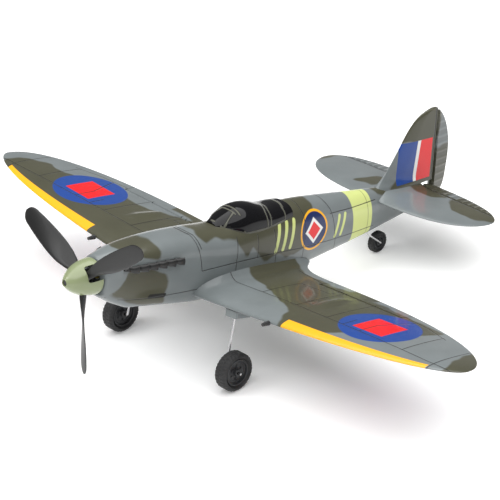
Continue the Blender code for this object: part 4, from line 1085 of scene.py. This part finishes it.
blade_chord = line_through([(3.2, 6.4), (8.0, 7.6), (12.5, 9.8), (19, 12.2), (28, 13.2), (38, 12.8),
                            (46, 11.8), (52, 10.4)])
blade_thick = line_through([(3.2, 4.6), (8.0, 3.8), (12.5, 2.8), (19, 2.1), (28, 1.7), (38, 1.5), (46, 1.3),
                            (52, 1.1), (57.4, 0.7)])
TIP_START = 50.0
TIP_LENGTH = 7.4


def tip_chord(r):
    """The blade's chord: a curve along the blade, then a round tip."""
    if r <= TIP_START:
        return blade_chord(r)
    share = (r - TIP_START) / TIP_LENGTH
    return blade_chord(TIP_START) * math.sqrt(max(1 - share**2.2, 0.004))


def build_propeller():
    radii = spread(3.2, TIP_START, 26) + [51, 52, 53, 54, 55, 55.8, 56.4, 56.9, 57.2, 57.38]
    hub_profile = [(0.0, -3.4), (4.0, -3.4), (4.6, -2.8), (4.6, 3.8), (4.0, 4.4), (0.0, 4.4)]
    hub = turned(hub_profile, (0, PROP_Y, 0), (0, 1, 0), 48)
    operations = []
    for i in range(BLADES):
        blade = loft([blade_ring(r, tip_chord(r), blade_thick(r), blade_turn(i)) for r in radii])
        operations.append(("UNION", blade))
    operations.append(("DIFFERENCE", cylinder((0, 5, 0), (0, 30, 0), 1.3, 24)))
    material = plastic("propeller_plastic", (0.012, 0.012, 0.012), 0.42, 1100.0, 0.05)
    piece_from(cut(hub, operations), "propeller_blades", "prop_assembly", material, ("propeller",),
               35)


def tread_depth(step, r, along, radius, half):
    """How far the tread is sunk at one point of the tyre: a groove round the middle and staggered cuts."""
    if r <= radius * 0.925:
        return 0.0
    if abs(along) > 0.1 * half:
        shift = 3 if along > 0 else 0
        if (step + shift) % BLOCK_STEPS > 1:
            return 0.0
    return 0.028 * radius


def build_tyre(name, replaces, body, centre, radius, width, hub_r, blocks):
    """A tyre with a rounded shoulder and a tread of staggered blocks cut into its crown."""
    half = width / 2
    profile = [(hub_r, -half * 0.72), (hub_r + 0.5, -half * 0.8), (radius * 0.80, -half),
               (radius * 0.87, -half * 0.99), (radius * 0.93, -half * 0.9), (radius * 0.97, -half * 0.76)]
    crown = [(radius, half * (-0.66 + 1.32 * i / 10)) for i in range(11)]
    profile = profile + crown + [(r, -along) for r, along in profile[::-1]] + [(hub_r - 0.05, 0.0)]
    steps = blocks * BLOCK_STEPS
    bm = bmesh.new()
    rows = []
    for j in range(steps):
        angle = 2 * math.pi * j / steps
        row = []
        for r, along in profile:
            reach = r - tread_depth(j, r, along, radius, half)
            row.append(bm.verts.new((centre.x + along, centre.y + reach * math.cos(angle),
                                     centre.z + reach * math.sin(angle))))
        rows.append(row)
    count = len(profile)
    for a, b in zip(rows, rows[1:] + rows[:1]):
        for i in range(count):
            k = (i + 1) % count
            bm.faces.new((a[i], a[k], b[k], b[i]))
    piece_from(bm, name, body, TYRE, replaces, 32)


def build_hub(name, replaces, body, centre, outer, width, bore):
    """A moulded disc hub: a stepped rim, a dished web with a ring of dimples and a boss round the axle."""
    half = width / 2
    side = [(bore, half * 0.95), (bore + 0.9, half * 0.95), (bore + 1.15, half * 0.86),
            (bore + 1.25, half * 0.42), (bore + 1.6, half * 0.36), (outer * 0.62, half * 0.40),
            (outer * 0.66, half * 0.47), (outer * 0.78, half * 0.47), (outer * 0.82, half * 0.42),
            (outer - 1.0, half * 0.48), (outer - 0.75, half * 0.76), (outer - 0.1, half * 0.8),
            (outer, half * 0.74)]
    profile = [(r, -along) for r, along in side] + side[::-1]
    disc_hub = turned(profile, centre, (1, 0, 0), 72, closed=True)
    holes = []
    ring_r = (bore + 1.6 + outer * 0.62) / 2
    for i in range(6):
        angle = math.pi / 6 + i * math.pi / 3
        y = centre.y + ring_r * math.cos(angle)
        z = centre.z + ring_r * math.sin(angle)
        for sign, _ in SIDES:
            holes.append(cylinder((centre.x + sign * half * 0.28, y, z), (centre.x + sign * half * 2, y, z),
                                  outer * 0.115, 20))
    disc_hub = cut(disc_hub, [("DIFFERENCE", hole) for hole in holes])
    piece_from(disc_hub, name, body, HUB, replaces, 35)


def craft_point(joint):
    return TO_CRAFT @ Vector(JOINTS[joint]["pos_m"])


def build_wheels():
    for _, label in SIDES:
        centre = craft_point("wheel_%s_spin" % label)
        body = "main_wheel_" + label
        build_tyre("tread_" + label, ("tyre_" + label,), body, centre, 11.8, 9.0, 8.5, 30)
        build_hub("hub_" + label, ("wheel_" + label,), body, centre, 8.2, 9.0, 1.15)
    centre = craft_point("tail_wheel_spin")
    build_tyre("tread_tail", ("tail_tyre",), "tail_wheel_assembly", centre, 7.0, 4.6, 4.7, 22)
    build_hub("hub_tail", ("tail_wheel",), "tail_wheel_assembly", centre, 4.4, 4.6, 1.15)


def exhaust_strip(side):
    """The long backing strip, tapered at its front and blunt at its rear."""
    rings = []
    for y in spread(EXHAUST_FRONT, EXHAUST_FRONT + EXHAUST_LENGTH, 40):
        behind = (y - EXHAUST_FRONT) / 7.0
        ahead = (EXHAUST_FRONT + EXHAUST_LENGTH - y) / 1.5
        tall = 1.9 * math.sqrt(max(min(behind, ahead, 1.0), 0.04))
        x = half_width(y) + 0.5
        z = 5.2 - (y - 31) * 0.045
        angles = [2 * math.pi * j / 12 for j in range(12)]
        rings.append([(side * (x + 0.85 * math.cos(a)), y, z + tall * math.sin(a)) for a in angles])
    return loft(rings)


def exhaust_stub(side, i):
    """One stub: it curls out and back from the strip, and its mouth turns in to a hollow."""
    y = 36.4 + i * 6.5
    z = 5.5 - (y - 31) * 0.045
    x = half_width(y) + 0.3
    path = []
    for k in range(9):
        t = k / 8
        spot = Vector((side * (x + 3.1 * math.sin(t * 1.35)), y + 5.0 * t**1.25, z - 0.25 * t))
        path.append((spot, 1.45 + 0.42 * math.sin(math.pi * min(t + 0.1, 1.0)), 1.7 + 0.7 * t))
    spot, wide, high = path[-1]
    path += [(spot, wide - 0.45, high - 0.45), (path[5][0], 0.7, 0.9)]
    out = Vector((side, -0.35, 0.0)).normalized()
    up = Vector((0, 0, 1))
    angles = [2 * math.pi * j / 16 for j in range(16)]
    return loft([[spot + out * wide * math.cos(a) * 0.8 + up * high * math.sin(a) for a in angles]
                 for spot, wide, high in path])


def build_exhausts():
    """Six flattened ejector stubs on a long backing strip, each with a dark open mouth."""
    material = plastic("exhaust_plastic", (0.014, 0.014, 0.014), 0.4, 900.0, 0.1)
    for side, label in SIDES:
        parts = [exhaust_strip(side)] + [exhaust_stub(side, i) for i in range(6)]
        piece_from(joined(*parts), "exhaust_stubs_" + label, ROOT, material, ("exhaust_" + label,),
                   50)


# ---------------------------------------------------------------- carried-over solids

def finish_solids():
    """Gives every remaining solid its own procedural material."""
    foam = plastic("grey_foam", GREY, 0.45, 700.0, 0.1)
    finishes = {
        "black_satin": plastic("satin_black", (0.022, 0.022, 0.023), 0.42, 1200.0, 0.1),
        "nylon": plastic("white_nylon", (0.62, 0.62, 0.60), 0.42, 1400.0, 0.1),
        "servo_case": plastic("servo_blue", (0.012, 0.05, 0.26), 0.3, 1000.0, 0.3),
        "steel": metal("spring_wire", (0.62, 0.62, 0.63), 0.24),
        "motor_can": metal("motor_can", (0.50, 0.50, 0.52), 0.3),
        "brass": metal("turned_brass", (0.72, 0.50, 0.20), 0.25),
        "battery_foil": foil(),
        "circuit_board": board(),
        "carbon": weave(),
    }
    slots = {part["node"]: part["material_slot"] for part in frame["record"]["subparts"]}
    for name, obj in frame["nodes"].items():
        finish = foam if name.startswith("gear_block") else finishes.get(slots[name])
        if finish is not None and not obj.hide_render:
            obj.data.materials.clear()
            obj.data.materials.append(finish)


# ---------------------------------------------------------------- studio

CAMERA_AZIMUTH = math.radians(44.43)
CAMERA_ELEVATION = math.radians(21.89)
CAMERA_ROLL = math.radians(5.01)
CAMERA_PLACE = Vector((906.8, -779.3, 508.5))
CAMERA_LENS = 167.6
LIGHT_AIM = Vector((0.0, 0.0, 0.04))
FLOOR_HALF = 40.0


def build_camera():
    """The camera stands ahead of the port wing, a little above, and leans slightly."""
    azimuth = CAMERA_AZIMUTH
    level = math.cos(CAMERA_ELEVATION)
    back = Vector((math.sin(azimuth) * level, -math.cos(azimuth) * level, math.sin(CAMERA_ELEVATION)))
    right = Vector((math.cos(azimuth), math.sin(azimuth), 0.0))
    up = right.cross(-back)
    across = right * math.cos(CAMERA_ROLL) + up * math.sin(CAMERA_ROLL)
    above = up * math.cos(CAMERA_ROLL) - right * math.sin(CAMERA_ROLL)
    turn = CRAFT.to_3x3().normalized()
    basis = Matrix((turn @ across, turn @ above, turn @ back)).transposed().to_4x4()
    data = bpy.data.cameras.new("camera")
    data.lens = CAMERA_LENS
    data.sensor_width = 36.0
    data.clip_start = 0.05
    data.clip_end = 50.0
    camera = bpy.data.objects.new("camera", data)
    camera.matrix_world = Matrix.Translation(CRAFT @ CAMERA_PLACE) @ basis
    bpy.context.scene.collection.objects.link(camera)
    bpy.context.scene.camera = camera


def area_light(name, place, size, power):
    """A white rectangular light turned towards the craft."""
    data = bpy.data.lights.new(name, "AREA")
    data.shape = "RECTANGLE"
    data.size = size[0]
    data.size_y = size[1]
    data.energy = power
    light = bpy.data.objects.new(name, data)
    light.location = place
    light.rotation_euler = (LIGHT_AIM - Vector(place)).to_track_quat("-Z", "Y").to_euler()
    bpy.context.scene.collection.objects.link(light)


def build_studio():
    """A wide pale floor, a white world and three lights."""
    bm = bmesh.new()
    corners = ((-1, -1), (1, -1), (1, 1), (-1, 1))
    bm.faces.new([bm.verts.new((x * FLOOR_HALF, y * FLOOR_HALF, 0.0)) for x, y in corners])
    mesh = bpy.data.meshes.new("floor")
    bm.to_mesh(mesh)
    bm.free()
    g = Graph("pale_floor")
    tone = g.mix(g.noise(g.place(), 3.0), (0.87, 0.87, 0.87), (0.90, 0.90, 0.90))
    white = (1.0, 1.0, 1.0, 1.0)
    mesh.materials.append(g.finish(tone, 0.75, Emission_Color=white, Emission_Strength=0.22))
    floor = bpy.data.objects.new("floor", mesh)
    bpy.context.scene.collection.objects.link(floor)
    world = bpy.data.worlds.new("studio")
    world.use_nodes = True
    background = world.node_tree.nodes["Background"]
    background.inputs["Color"].default_value = white
    background.inputs["Strength"].default_value = 0.17
    bpy.context.scene.world = world
    area_light("overhead", (0.1, 0.0, 1.5), (2.6, 2.6), 60.0)
    area_light("key", (-0.5, -0.9, 1.0), (0.45, 0.45), 3.5)
    area_light("fill", (1.3, -0.8, 0.35), (0.7, 0.5), 0.4)
    bpy.context.scene.view_settings.view_transform = "Standard"


TYRE = rubber()
HUB = plastic("hub_plastic", (0.030, 0.031, 0.033), 0.38, 1000.0, 0.15)
build_fuselage()
build_wings()
build_tail()
build_fin()
build_canopy()
build_spinner()
build_propeller()
build_wheels()
build_exhausts()
finish_solids()
build_camera()
build_studio()
